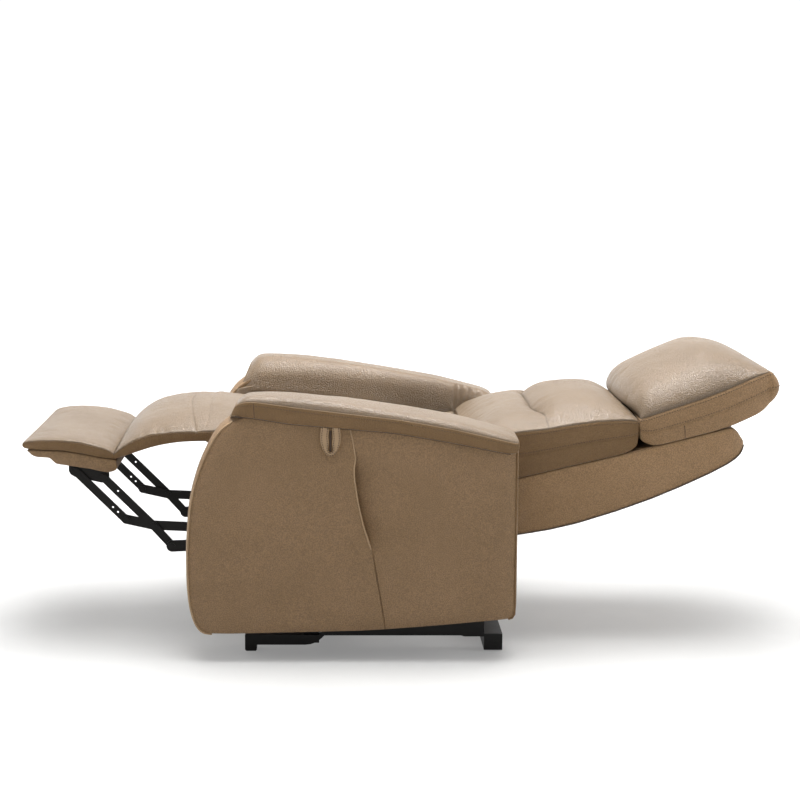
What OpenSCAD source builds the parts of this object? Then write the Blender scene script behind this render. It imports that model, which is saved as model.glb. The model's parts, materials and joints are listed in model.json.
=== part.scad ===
// Lift recliner chair, laid flat with its footrest out.
// The chair faces -Y, +Z is up, and X = 0 is its middle plane. Millimetres.
// The origin is on the floor under the middle of the laid-out chair.

/* [Overall] */
// clear width between the two arms
seat_width = 536; // [420:1:680]
// thickness of one arm, inner face to outer face
arm_width = 132; // [100:1:180]
// height of the highest point of the arm pads
arm_height = 638; // [560:1:740]
// length of the backrest from its pivot to its top edge
back_length = 680; // [560:1:820]

/* [Frame] */
// height of the rear floor tube
base_tube = 40; // [30:1:50]
// outside size of the square tubes across the seat
cross_tube = 30; // [24:1:36]
// wall of the steel tubes
tube_wall = 2.5; // [1.5:0.1:4]
// thickness of the mechanism side plates
plate_t = 4; // [3:0.5:6]
// thickness of the lift posts
post_t = 10; // [6:1:12]
// thickness of the padded arm panels
cover_t = 14; // [10:1:18]

/* [Linkage] */
// thickness of the footrest links
link_t = 4; // [3:0.5:5]
// width of the thin footrest links
link_w = 20; // [16:1:26]
// diameter of the linkage pins
pin_d = 10; // [8:1:12]
// diameter of the tilt pins that carry the chair
tilt_pin_d = 18; // [14:1:22]
// running gap round each pin
pin_gap = 0.05; // [0.02:0.01:0.1]

/* [Motors] */
// diameter of the motor rods
rod_d = 18; // [14:1:22]
// diameter of the motor barrels
barrel_d = 34; // [28:1:40]

/* [Cushions] */
// fullness of the cushion crowns
crown = 1; // [0.7:0.05:1.2]
// gap between the cushions and each arm
side_gap = 6; // [4:1:12]

/* [Hidden] */
$fn = 48;

// colours
c_leather = [0.74, 0.66, 0.56];
c_panel = [0.50, 0.41, 0.32];
c_steel = [0.11, 0.11, 0.12];
c_bright = [0.62, 0.63, 0.65];
c_wood = [0.72, 0.56, 0.38];
c_plastic = [0.07, 0.07, 0.08];
c_web = [0.20, 0.19, 0.18];

// layers across the chair, as distances from the middle plane
hs = seat_width / 2;
xo = hs + arm_width;
wc = hs - side_gap;
x_plate = hs - 71;
x_plate2 = x_plate + plate_t;
layer_gap = 0.5;
x_d = x_plate - 2 - link_t;
x_b = x_d - layer_gap - link_t;
x_c = x_b - layer_gap - link_t;
x_brk = x_plate2 + 2;
x_post = hs + cover_t + 6;
x_cav1 = hs + cover_t;
x_cav2 = xo - cover_t;
cap_in = hs - 2;
cap_out = xo + 9;

// pivots in the side view, as [Y, Z]
T = [-353, 320];
X1 = [-594, 281];
G = X1 + [-119, 119];
E = X1 + [-67, 15];
F = E + [-119, 119];
P = X1 + [45, -50];
HINGE = [-478, 470];
L = HINGE - G;
Q1 = X1 + L;
Q2 = P + L;
C_BEND = [-500, 277];
D_BEND = [-500, 233];
DRIVE = [-408, 325];
BP = [165, 385];
CRANK = [165, 300];
LIFT_J = [-205, 62];
LIFT_K = [-15, 285];
BACK_J = [-275, 300];
BACK_K = [101, 283];
x_back = 75;

// the backrest is stretched along its own slope, and the arms above seat height
back_tilt = 13.7;
bu = [cos(back_tilt), sin(back_tilt)];
bn = [-sin(back_tilt), cos(back_tilt)];
kb = back_length / 680;
ka = (arm_height - 350) / 288;
function dot2(a, b) = a[0] * b[0] + a[1] * b[1];
function along(d) = dot2(d, bu) > 60 ? 60 + (dot2(d, bu) - 60) * kb : dot2(d, bu);
function bk(p) = BP + along(p - BP) * bu + dot2(p - BP, bn) * bn;
function bks(v) = [for (p = v) bk(p)];
function ar(p) = p[1] > 350 ? [p[0], 350 + (p[1] - 350) * ka] : p;
function ars(v) = [for (p = v) ar(p)];
function rev(v) = [for (i = [len(v) - 1:-1:0]) v[i]];
function lower(v, d) = [for (p = v) [p[0], p[1] - d]];

// outline of an arm in the side view, front bottom first
ARM_FRONT = [[-459, 64], [-466, 77], [-475, 95], [-484, 120], [-491, 148], [-495, 180], [-496.5, 215],
             [-497, 247], [-496, 280], [-493, 325], [-488, 370], [-478, 414], [-464, 457], [-453, 482],
             [-440, 505], [-427, 526], [-412, 546], [-397, 563], [-380, 577]];
ARM_TOP = [[-350, 583], [-323, 579], [-255, 568], [-140, 558], [-14, 547], [120, 524], [239, 500], [269, 496]];
ARM_INSET = [[-444, 64], [-452, 81], [-461, 99], [-470, 123], [-477, 150], [-481, 181], [-482.5, 215],
             [-483, 247], [-482, 279], [-479, 323], [-474, 367], [-465, 410], [-451, 451], [-441, 475],
             [-428, 497], [-415, 518], [-401, 536], [-387, 552], [-371, 564]];

module yz(x0, x1) {
    translate([x0, 0, 0])
    rotate([90, 0, 90])
    linear_extrude(x1 - x0)
    children();
}

module cx(x0, x1, p, d) {
    translate([x0, p[0], p[1]])
    rotate([0, 90, 0])
    cylinder(h = x1 - x0, d = d);
}

module both() {
    children();
    mirror([1, 0, 0])
    children();
}

module bar2(a, b, w) {
    d = b - a;
    l = norm(d);
    n = [-d[1], d[0]] * w / 2 / l;
    polygon([a + n, b + n, b - n, a - n]);
    translate(a)
    circle(d = w);
    translate(b)
    circle(d = w);
}

module hole2(p, d) {
    translate(p)
    circle(d = d + 2 * pin_gap);
}

// a soft form: one closed ring at each station, joined in order
// base, rim: edge points of each station; rise: height of the middle over the rim; half: half widths
function ring_x(t) = sign(t) * pow(abs(t), 0.85);
function ring_at(b, t, c, w, x) = let (n = (t - b) / norm(t - b))
    concat(
        [for (k = [-3:1:3]) let (u = k / 3) [x + u * (w - 5), b[0], b[1]]],
        [for (k = [1:1:3]) let (f = k / 4, q = b + (t - b) * f)
            [x + w - 5 + 6 * sin(90 * f) + 1.5 * sin(180 * f), q[0], q[1]]],
        [for (k = [8:-1:-8]) let (u = k / 8, s = ring_x(u), q = t + n * c * (1 - pow(abs(s), 2.6)))
            [x + s * w, q[0], q[1]]],
        [for (k = [3:-1:1]) let (f = k / 4, q = b + (t - b) * f)
            [x - w + 5 - 6 * sin(90 * f) - 1.5 * sin(180 * f), q[0], q[1]]]
    );

module soft(base, rim, rise, half, x) {
    n = len(base);
    rings = [for (i = [0:1:n - 1]) ring_at(base[i], rim[i], rise[i] * crown, half[i], x)];
    m = len(rings[0]);
    mid0 = (base[0] + rim[0]) / 2;
    mid1 = (base[n - 1] + rim[n - 1]) / 2;
    pts = concat([for (r = rings) each r], [[x, mid0[0], mid0[1]], [x, mid1[0], mid1[1]]]);
    sides = [for (i = [0:1:n - 2]) for (j = [0:1:m - 1]) let (a = i * m + j, b = i * m + (j + 1) % m)
        each [[a, b, b + m], [a, b + m, a + m]]];
    first = [for (j = [0:1:m - 1]) [(j + 1) % m, j, n * m]];
    last = [for (j = [0:1:m - 1]) [(n - 1) * m + j, (n - 1) * m + (j + 1) % m, n * m + 1]];
    polyhedron(points = pts, faces = concat(sides, first, last));
}

// floor frame
// side view of a floor rail: a foot, a low front part, and a deep rear part that meets the rear tube
RAIL = [[-367, 3], [-339, 3], [-339, 16], [-222, 16], [-210, 17.5], [-200, 21], [-191, 26.5], [-183, 33],
        [-177, 39], [150, 39], [158, 36.5], [205, 36.5], [205, 76], [-176, 55], [-183, 49], [-190, 40], [-367, 40]];

module base_rail() {
    yz(hs + 9, hs + 39)
    polygon(RAIL);
}

module base_rail_left() {
    color(c_steel)
    base_rail();
}

module base_rail_right() {
    color(c_steel)
    mirror([1, 0, 0])
    base_rail();
}

module base_front_tube() {
    color(c_steel)
    union() {
        difference() {
            translate([-hs - 9, -220, 12])
            cube([2 * hs + 18, 30, 28]);
            translate([-hs - 10, -220 + tube_wall, 12 + tube_wall])
            cube([2 * hs + 20, 30 - 2 * tube_wall, 28 - 2 * tube_wall]);
        }
        both()
        difference() {
            yz(14, 18)
            union() {
                polygon([[-219, 40], [-191, 40], [-191, 62], [-219, 62]]);
                translate(LIFT_J)
                circle(d = 28);
            }
            cx(13, 19, LIFT_J, pin_d + 2 * pin_gap);
        }
    }
}

module base_rear_tube() {
    color(c_steel)
    difference() {
        translate([-hs - 34, 205, 3])
        cube([2 * hs + 68, 44, base_tube]);
        translate([-hs - 35, 205 + tube_wall, 3 + tube_wall])
        cube([2 * hs + 70, 44 - 2 * tube_wall, base_tube - 2 * tube_wall]);
    }
}

module base_end_caps() {
    g = tube_wall + 0.2;
    color(c_plastic)
    both()
    union() {
        translate([hs + 34, 205, 3])
        cube([4, 44, base_tube]);
        translate([hs + 22, 205 + g, 3 + g])
        cube([12, 44 - 2 * g, base_tube - 2 * g]);
    }
}

module floor_glides() {
    color(c_plastic)
    both() {
        translate([hs + 12, -365, 0])
        cube([24, 24, 3]);
        translate([hs - 6, 209, 0])
        cube([34, 36, 3]);
    }
}

module lift_post() {
    difference() {
        yz(x_post, x_post + post_t)
        union() {
            polygon([[-224.7, 40], [-190, 40], T + [17.6, 9.5], T - [17.6, 9.5]]);
            translate(T)
            circle(d = 40);
        }
        cx(x_post - 1, x_post + post_t + 1, T, tilt_pin_d + 2 * pin_gap);
    }
}

module lift_post_left() {
    color(c_steel)
    lift_post();
}

module lift_post_right() {
    color(c_steel)
    mirror([1, 0, 0])
    lift_post();
}

module lift_motor_pin() {
    color(c_bright)
    cx(-20, 20, LIFT_J, pin_d);
}

// a screw motor along its own +Y, its pivot at the origin
module motor_body(len) {
    difference() {
        union() {
            rotate([0, 90, 0])
            translate([0, 0, -12])
            cylinder(h = 24, d = 26);
            translate([-12, 0, -13])
            cube([24, 20, 26]);
            translate([-24, 18, -62])
            cube([48, 46, 84]);
            translate([0, 63, 0])
            rotate([-90, 0, 0])
            cylinder(h = len - 63, d = barrel_d);
            translate([0, 63, -40])
            rotate([-90, 0, 0])
            cylinder(h = 84, d = 42);
        }
        rotate([0, 90, 0])
        translate([0, 0, -13])
        cylinder(h = 26, d = pin_d + 2 * pin_gap);
        translate([0, 72, 0])
        rotate([-90, 0, 0])
        cylinder(h = len, d = rod_d + 2 * pin_gap);
    }
}

// its rod, with an eye whose hole is free by fy along the rod and fz across it
module motor_rod(from, to, fy, fz) {
    h = pin_d / 2 + fz;
    r = pin_d / 2 + fy;
    difference() {
        union() {
            translate([0, from, 0])
            rotate([-90, 0, 0])
            cylinder(h = to - from - r - 2, d = rod_d);
            translate([-8, to - r - 8, -h - 8])
            cube([16, 2 * r + 16, 2 * h + 16]);
        }
        for (s = [-1, 1])
        translate([-9, to, s * (h - r)])
        rotate([0, 90, 0])
        cylinder(h = 18, r = r);
        if (h > r)
        translate([-9, to - r, -(h - r)])
        cube([18, 2 * r, 2 * (h - r)]);
    }
}

lift_a = atan2(LIFT_K[1] - LIFT_J[1], LIFT_K[0] - LIFT_J[0]);
lift_l = norm(LIFT_K - LIFT_J);
back_a = atan2(BACK_K[1] - BACK_J[1], BACK_K[0] - BACK_J[0]);
back_l = norm(BACK_K - BACK_J);

module lift_motor() {
    color(c_plastic)
    translate([0, LIFT_J[0], LIFT_J[1]])
    rotate([lift_a, 0, 0])
    motor_body(250);
}

module lift_rod() {
    color(c_bright)
    translate([0, LIFT_J[0], LIFT_J[1]])
    rotate([lift_a, 0, 0])
    motor_rod(84, lift_l, 2.6, 2.6);
}

module back_motor() {
    color(c_plastic)
    translate([x_back, BACK_J[0], BACK_J[1]])
    rotate([back_a, 0, 0])
    motor_body(310);
}

module back_rod() {
    color(c_bright)
    translate([x_back, BACK_J[0], BACK_J[1]])
    rotate([back_a, 0, 0])
    motor_rod(110, back_l, 2.4, 16);
}

// chair body

PLATE = [[-377, 358], [-377, 312], [-366, 299], [-326, 283], [-304, 283], [-290, 304], [20, 304], [172, 367],
         [183, 377], [183, 396], [172, 405], [158, 405], [2, 340], [-300, 340], [-338, 360], [-349, 370],
         [-366, 370]];

module side_plate() {
    yz(x_plate, x_plate2)
    difference() {
        polygon(PLATE);
        hole2(Q1, pin_d);
        hole2(Q2, pin_d);
        hole2(T, tilt_pin_d);
        hole2(BP, pin_d + 4);
    }
}

module side_plate_left() {
    color(c_steel)
    side_plate();
}

module side_plate_right() {
    color(c_steel)
    mirror([1, 0, 0])
    side_plate();
}

module chassis_tube(y) {
    difference() {
        translate([-hs, y, 340])
        cube([2 * hs, cross_tube, 30]);
        translate([-hs - 1, y + tube_wall, 340 + tube_wall])
        cube([2 * hs + 2, cross_tube - 2 * tube_wall, 30 - 2 * tube_wall]);
    }
}

module lug(x0, x1, p, y0, y1) {
    difference() {
        yz(x0, x1)
        union() {
            polygon([[y0, 340], [y1, 340], [p[0] + 14, p[1]], [p[0] - 14, p[1]]]);
            translate(p)
            circle(d = 28);
        }
        cx(x0 - 1, x1 + 1, p, pin_d + 2 * pin_gap);
    }
}

module front_cross_tube() {
    color(c_steel)
    union() {
        chassis_tube(-290);
        lug(x_back - 18, x_back - 14, BACK_J, -289, -261);
        lug(x_back + 14, x_back + 18, BACK_J, -289, -261);
    }
}

module rear_cross_tube() {
    color(c_steel)
    union() {
        chassis_tube(-cross_tube);
        lug(-14, -10, LIFT_K, -29, -1);
        lug(10, 14, LIFT_K, -29, -1);
    }
}

module tilt_pins() {
    color(c_bright)
    both()
    union() {
        cx(x_plate - 0.5, x_post + post_t + 3, T, tilt_pin_d);
        cx(x_post + post_t + 0.3, x_post + post_t + 4, T, tilt_pin_d + 8);
    }
}

module pivot_pins() {
    color(c_bright)
    both() {
        cx(x_c - 1, x_plate2 + 2, Q1, pin_d);
        cx(x_c - 4, x_c - 0.5, Q1, pin_d + 6);
        cx(x_d - 1, x_plate2 + 2, Q2, pin_d);
        cx(x_d - 3.5, x_d - 0.5, Q2, pin_d + 6);
        cx(x_plate - 1, x_brk + plate_t + 0.5, BP, pin_d + 4);
        cx(x_plate - 4, x_plate - 0.3, BP, pin_d + 10);
    }
}

module motor_pins() {
    color(c_bright)
    union() {
        cx(-16, 16, LIFT_K, pin_d);
        cx(x_back - 20, x_back + 20, BACK_J, pin_d);
    }
}

module seat_rail_front() {
    color(c_wood)
    translate([-hs, -440, 370])
    cube([2 * hs, 30, 20]);
}

module seat_rail_rear() {
    color(c_wood)
    translate([-hs, -35, 370])
    cube([2 * hs, 40, 20]);
}

module seat_webbing() {
    color(c_web)
    for (i = [-2:1:2])
    translate([i * (hs - 50) / 2.3 - 25, -438, 390])
    cube([50, 441, 2]);
}

SEAT_B = [[-477.6, 442], [-472, 420], [-460, 402], [-430, 392.4], [-340, 392.4], [-240, 392.4], [-140, 392.4],
          [-60, 392.4], [-14, 392.4], [12, 398], [24, 410]];
SEAT_T = [[-477.6, 524], [-472, 527], [-460, 528], [-430, 527], [-340, 518], [-240, 508], [-140, 499],
          [-60, 490], [-14, 482], [12, 470], [24, 454]];

module seat_cushion() {
    color(c_leather)
    soft(SEAT_B, SEAT_T, [13, 15, 16, 18, 21, 22, 20, 16, 12, 8, 3],
        [wc - 4, wc - 1, wc, wc, wc, wc, wc, wc, wc, wc - 3, wc - 10], 0);
}

module arm_outline() {
    polygon(ars(concat(ARM_FRONT, ARM_TOP, [[269, 104]])));
}

module arm_inner() {
    difference() {
        yz(hs, x_cav1)
        arm_outline();
        cx(hs - 1, x_cav1 + 1, T, tilt_pin_d + 2);
    }
}

module arm_inner_left() {
    color(c_leather)
    arm_inner();
}

module arm_inner_right() {
    color(c_leather)
    mirror([1, 0, 0])
    arm_inner();
}

SLIT = [[-109, 482], [-97, 482], [-60, 270], [-72, 270]];

module arm_outer_left() {
    color(c_panel)
    difference() {
        yz(x_cav2, xo)
        arm_outline();
        yz(x_cav2 - 1, xo + 1)
        polygon(SLIT);
    }
}

module arm_outer_right() {
    color(c_panel)
    mirror([1, 0, 0])
    yz(x_cav2, xo)
    arm_outline();
}

module arm_front() {
    yz(x_cav1, x_cav2)
    polygon(ars(concat(ARM_FRONT, rev(ARM_INSET))));
}

module arm_front_left() {
    color(c_panel)
    arm_front();
}

module arm_front_right() {
    color(c_panel)
    mirror([1, 0, 0])
    arm_front();
}

module arm_rear() {
    yz(x_cav1, x_cav2)
    polygon(ars([[255, 103.3], [269, 104], [269, 496], [255, 497.8]]));
}

module arm_rear_left() {
    color(c_panel)
    arm_rear();
}

module arm_rear_right() {
    color(c_panel)
    mirror([1, 0, 0])
    arm_rear();
}

RAIL_TOP = [[-345, 580], [-323, 577], [-255, 566], [-140, 556], [-14, 545], [120, 522], [239, 498], [254, 496]];

module arm_top_rails() {
    color(c_wood)
    both()
    yz(x_cav1, x_cav2)
    polygon(concat(ars(RAIL_TOP), rev(lower(ars(RAIL_TOP), 26))));
}

CAP_B = [[-386, 592], [-376, 588], [-350, 583.6], [-323, 579.6], [-255, 568.6], [-140, 558.6], [-14, 547.6],
         [120, 524.6], [239, 500.6], [266, 497.2], [276, 499]];
CAP_T = [[-390, 604], [-381, 616], [-353, 620], [-328, 619], [-240, 604], [-135, 592], [-3, 578],
         [123, 556], [232, 537], [266, 524], [279, 511]];

module arm_cap() {
    w = (cap_out - cap_in) / 2;
    x = (cap_out + cap_in) / 2;
    soft(ars(CAP_B), ars(CAP_T), [3, 9, 17, 19, 25, 25, 22, 20, 18, 12, 3],
        [w - 12, w - 4, w, w, w, w, w, w, w, w - 2, w - 8], x);
}

module arm_cap_left() {
    color(c_leather)
    arm_cap();
}

module arm_cap_right() {
    color(c_leather)
    mirror([1, 0, 0])
    arm_cap();
}

module pocket_pouch() {
    color(c_web)
    difference() {
        translate([x_cav2 - 30, -300, 255])
        cube([30, 250, 236]);
        translate([x_cav2 - 28, -298, 257])
        cube([30, 246, 232]);
    }
}

// a strap folded into a U, with a narrow slot between its two legs
loop_w = 48;
loop_slot = 8;

module hanging_loop() {
    z1 = ar([0, 557])[1];
    c = [-162, 494 + loop_w / 2];
    color(c_panel)
    yz(xo, xo + 7)
    difference() {
        union() {
            translate(c)
            circle(d = loop_w);
            translate([c[0] - loop_w / 2, c[1]])
            square([loop_w, z1 - c[1]]);
        }
        translate([c[0], c[1] - 11])
        circle(d = loop_slot);
        translate([c[0] - loop_slot / 2, c[1] - 11])
        square([loop_slot, z1 - c[1] + 5]);
    }
}

module control_box() {
    color(c_plastic)
    difference() {
        translate([-172, -cross_tube - 100, 341])
        cube([72, 100, 28]);
        translate([-164, -cross_tube - 101, 347])
        cube([56, 13, 16]);
    }
}

// backrest

SHELL_LOW = [[195, 266], [240, 267.5], [288, 273], [360, 285], [428, 301], [520, 330], [610, 363], [680, 393],
             [746, 424], [788, 447], [818, 470], [825, 488], [820, 510], [808, 527], [795, 535]];
SHELL_TOP = [[578, 479], [288, 411], [222, 394], [209, 350], [195, 340]];
HOLLOW_LOW = [[207, 279], [240, 280], [288, 285.5], [360, 297], [426, 313], [516, 342], [605, 375], [675, 405],
              [740, 436], [780, 458], [804, 478], [806, 494], [796, 514]];

module back_shell() {
    color(c_panel)
    difference() {
        yz(-(hs - 18), hs - 18)
        polygon(bks(concat(SHELL_LOW, SHELL_TOP)));
        yz(-(hs - 30), hs - 30)
        polygon(bks(concat(HOLLOW_LOW, [[785, 600], [207, 460]])));
    }
}

B_RAIL_TOP = [[218, 389], [288, 408], [578, 476], [780, 528]];

module back_side_rails() {
    color(c_wood)
    both()
    yz(x_brk + plate_t, hs - 30)
    polygon(bks(concat(B_RAIL_TOP, rev(lower(B_RAIL_TOP, 28)))));
}

function b_line(y) = y < 578 ? 408 + (y - 288) * 68 / 290 : 476 + (y - 578) * 52 / 202;

module back_webbing() {
    color(c_web)
    for (y = [300, 385, 470, 600, 690])
    yz(-(hs - 31), hs - 31)
    polygon(bks([[y, b_line(y)], [y + 55, b_line(y + 55)], [y + 55, b_line(y + 55) + 2], [y, b_line(y) + 2]]));
}

module back_brackets() {
    color(c_steel)
    both()
    yz(x_brk, x_brk + plate_t)
    difference() {
        union() {
            bar2(BP, CRANK, 36);
            bar2([170, 370], [400, 411], 26);
        }
        hole2(BP, pin_d + 4);
    }
}

module back_crank_tube() {
    color(c_steel)
    union() {
        cx(-x_brk, x_brk, CRANK, 25);
        for (s = [-14, 10])
        difference() {
            yz(x_back + s, x_back + s + 4)
            bar2(CRANK, BACK_K, 26);
            cx(x_back + s - 1, x_back + s + 5, BACK_K, pin_d + 2 * pin_gap);
        }
    }
}

module back_crank_pin() {
    color(c_bright)
    cx(x_back - 16, x_back + 16, BACK_K, pin_d);
}

BACK_B = [[195, 394], [206, 395], [240, 399.4], [288, 411.4], [335, 422.4], [360, 428.3], [384, 433.9],
          [430, 444.7], [479, 456.2], [520, 465.8], [548, 474.5], [562, 487]];
BACK_T = [[165, 490], [188, 507], [232, 518], [285, 524], [331, 529], [353, 531], [376, 536], [422, 543],
          [467, 549], [508, 552], [541, 549], [560, 536]];

module back_cushion() {
    color(c_leather)
    soft(bks(BACK_B), bks(BACK_T), [14, 27, 40, 49, 55, 57, 64, 68, 63, 48, 28, 10],
        [wc - 14, wc - 5, wc, wc, wc, wc, wc, wc, wc, wc, wc - 4, wc - 14], 0);
}

// a leather skirt round the pivot closes the space below the back cushion
module skirt_strip(x0, x1) {
    yz(x0, x1)
    difference() {
        translate(BP)
        circle(r = 109.5);
        translate(BP)
        circle(r = 105.5);
        polygon([[194.4, 396], [152.9, 526], [400, 526], [400, 200], [194.4, 200]]);
        polygon([BP, BP + [-260, 82], BP + [-260, -400], BP + [300, -400], BP + [300, 0]]);
    }
}

module back_skirt() {
    color(c_panel)
    union() {
        skirt_strip(-(x_plate - 5), x_plate - 5);
        both()
        skirt_strip(x_brk + plate_t + 3, wc - 18);
    }
}

HEAD_B = [[574, 499], [585, 488], [602, 485.8], [640, 495.5], [694, 509.5], [745, 522.7], [793, 537.5], [842, 560],
          [870, 577], [888, 604]];
HEAD_T = [[567, 533], [568, 549], [580, 557], [620, 570], [668, 586], [722, 604], [775, 625], [828, 649],
          [869, 671], [893, 650]];

module head_cushion() {
    color(c_leather)
    soft(bks(HEAD_B), bks(HEAD_T), [26, 48, 75, 100, 112, 112, 95, 54, 18, 0],
        [wc - 22, wc - 10, wc - 2, wc, wc, wc, wc, wc - 2, wc - 8, wc - 20], 0);
}

// footrest

BOARD = [[-877, 479], [-855, 462], [-829, 461], [-817, 446], [-736, 434], [-694, 425], [-673, 440],
         [-680, 456], [-711, 462.5], [-760, 472.5], [-805, 479.5], [-850, 480.4]];

module foot_board() {
    color(c_panel)
    yz(-(hs - 13), hs - 13)
    polygon(BOARD);
}

BRACKET = [[-798, 442.8], [-736, 433.7], [-700, 426], [-700, 394], [-707, 388], [-719, 387], [-785, 402],
           [-794, 408], [-798, 416]];

module foot_brackets() {
    color(c_steel)
    both()
    yz(x_c, x_c + link_t)
    difference() {
        polygon(BRACKET);
        hole2(F, pin_d);
        hole2(G, pin_d);
    }
}

module rivet(x0, x1, p) {
    cx(x0 - 0.5, x1 + 0.5, p, pin_d);
    cx(x0 - 3.5, x0 - 0.3, p, pin_d + 6);
    cx(x1 + 0.3, x1 + 1.8, p, pin_d + 6);
}

module bracket_rivets() {
    color(c_steel)
    both() {
        rivet(x_c, x_b + link_t, F);
        rivet(x_c, x_b + link_t, G);
    }
}

PAD_B = [[-886, 485], [-878, 481], [-850, 481], [-805, 480], [-760, 473], [-711, 463], [-692, 459.4],
         [-680, 457.2]];
PAD_T = [[-893, 491], [-889, 500], [-851, 507], [-806, 507], [-757, 502], [-706, 488], [-689, 480],
         [-679, 471]];

module foot_pad() {
    color(c_leather)
    soft(PAD_B, PAD_T, [0, 8, 20, 26, 26, 20, 11, 3],
        [wc - 16, wc - 6, wc, wc, wc, wc, wc - 3, wc - 8], 0);
}

CALF_B = [[-679.2, 457.2], [-660, 464], [-639, 471], [-615, 479], [-591, 487], [-566, 492.5], [-544, 495],
          [-520, 494], [-505, 491], [-490, 485], [-479.2, 479]];
CALF_T = [[-678.2, 471], [-664, 484], [-643, 499], [-619, 512], [-594, 521], [-567, 527], [-544, 530],
          [-520, 529], [-505, 528], [-490, 528], [-479.2, 524]];

module calf_pad() {
    color(c_leather)
    soft(CALF_B, CALF_T, [3, 10, 16, 19, 21, 20, 18, 15, 13, 15, 13],
        [wc - 8, wc - 3, wc, wc, wc, wc, wc, wc, wc, wc - 1, wc - 4], 0);
}

module upper_swing_links() {
    color(c_steel)
    both()
    yz(x_c, x_c + link_t)
    difference() {
        union() {
            bar2(E, X1, link_w + 3);
            bar2(X1, C_BEND, link_w + 3);
            bar2(C_BEND, Q1, link_w + 3);
        }
        hole2(E, pin_d);
        hole2(X1, pin_d);
        hole2(Q1, pin_d);
    }
}

module lower_swing_links() {
    color(c_steel)
    both()
    yz(x_d, x_d + link_t)
    difference() {
        union() {
            bar2(P, D_BEND, link_w + 8);
            bar2(D_BEND, Q2, link_w + 4);
        }
        hole2(P, pin_d);
        hole2(Q2, pin_d);
    }
}

module front_links() {
    color(c_steel)
    both()
    yz(x_b, x_b + link_t)
    difference() {
        bar2(F, E, link_w);
        hole2(F, pin_d);
        hole2(E, pin_d);
        hole2([-692, 327], 5);
        hole2([-680, 315], 5);
    }
}

module rear_links() {
    color(c_steel)
    both()
    yz(x_b, x_b + link_t)
    difference() {
        union() {
            bar2(G, X1, link_w);
            bar2(X1, P, link_w);
        }
        hole2(G, pin_d);
        hole2(X1, pin_d);
        hole2(P, pin_d);
        hole2([-679, 367], 5);
    }
}

module swing_rivets() {
    color(c_steel)
    both() {
        rivet(x_c, x_b + link_t, E);
        rivet(x_c, x_b + link_t, X1);
    }
}

module lower_rivets() {
    color(c_steel)
    both()
    rivet(x_b, x_d + link_t, P);
}

module drive_tube() {
    color(c_steel)
    cx(-x_c, x_c, DRIVE, 20);
}

base_rail_left();
base_rail_right();
base_front_tube();
base_rear_tube();
base_end_caps();
floor_glides();
lift_post_left();
lift_post_right();
lift_motor_pin();
lift_motor();
lift_rod();
side_plate_left();
side_plate_right();
front_cross_tube();
rear_cross_tube();
tilt_pins();
pivot_pins();
motor_pins();
seat_rail_front();
seat_rail_rear();
seat_webbing();
seat_cushion();
arm_inner_left();
arm_inner_right();
arm_outer_left();
arm_outer_right();
arm_front_left();
arm_front_right();
arm_rear_left();
arm_rear_right();
arm_top_rails();
arm_cap_left();
arm_cap_right();
pocket_pouch();
hanging_loop();
control_box();
back_motor();
back_rod();
back_shell();
back_side_rails();
back_webbing();
back_brackets();
back_crank_tube();
back_crank_pin();
back_skirt();
back_cushion();
head_cushion();
foot_board();
foot_brackets();
bracket_rivets();
foot_pad();
calf_pad();
upper_swing_links();
lower_swing_links();
front_links();
rear_links();
swing_rivets();
lower_rivets();
drive_tube();
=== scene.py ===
# %% [markdown]
# # A lift recliner chair, laid flat
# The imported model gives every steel, timber and plastic piece in its true place. This lesson dresses that
# frame: padded leather cushions and arms, their seams and stitching, and a finish for every bare part.
# Lengths in the tables are millimetres, in the chair's own frame: feet at -Y, head at +Y, floor at Z = 0.

# %% Load the frame
import json
import math
import bpy
import numpy as np
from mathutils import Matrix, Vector, noise


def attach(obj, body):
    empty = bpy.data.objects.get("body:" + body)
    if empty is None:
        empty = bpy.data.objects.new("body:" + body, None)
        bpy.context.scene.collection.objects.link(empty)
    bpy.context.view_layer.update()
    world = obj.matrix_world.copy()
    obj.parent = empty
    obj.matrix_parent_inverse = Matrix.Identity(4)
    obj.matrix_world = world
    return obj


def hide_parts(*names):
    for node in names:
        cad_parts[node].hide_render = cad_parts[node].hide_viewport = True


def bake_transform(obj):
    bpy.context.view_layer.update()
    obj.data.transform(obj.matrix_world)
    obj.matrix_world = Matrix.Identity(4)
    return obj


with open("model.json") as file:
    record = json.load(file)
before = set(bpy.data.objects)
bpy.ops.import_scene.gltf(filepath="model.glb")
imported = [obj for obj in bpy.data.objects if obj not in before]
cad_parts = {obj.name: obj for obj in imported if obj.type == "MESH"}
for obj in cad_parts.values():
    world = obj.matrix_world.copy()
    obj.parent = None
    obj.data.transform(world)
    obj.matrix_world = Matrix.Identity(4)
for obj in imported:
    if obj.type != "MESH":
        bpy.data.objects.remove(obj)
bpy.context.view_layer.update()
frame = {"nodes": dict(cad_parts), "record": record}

MM = 0.001

# %% [markdown]
# ## Small helpers
# A material, and the light of the room too, is a tree of nodes joined by links. These helpers add a node,
# fill its inputs and do sums inside a tree. The last two pick out one object, so that Blender's own
# operators work on it alone, and make an object from points and faces.

# %% Helpers for nodes and objects
F, V3 = "NodeSocketFloat", "NodeSocketVector"
WHITE = (1, 1, 1, 1)


def linear(r, g, b):
    """A colour as a picture shows it, turned into the values that the renderer works with."""
    return tuple(((v / 255 + 0.055) / 1.055) ** 2.4 for v in (r, g, b)) + (1.0,)


def dimmed(colour, share):
    return tuple(v * share for v in colour[:3]) + (1.0,)


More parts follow.
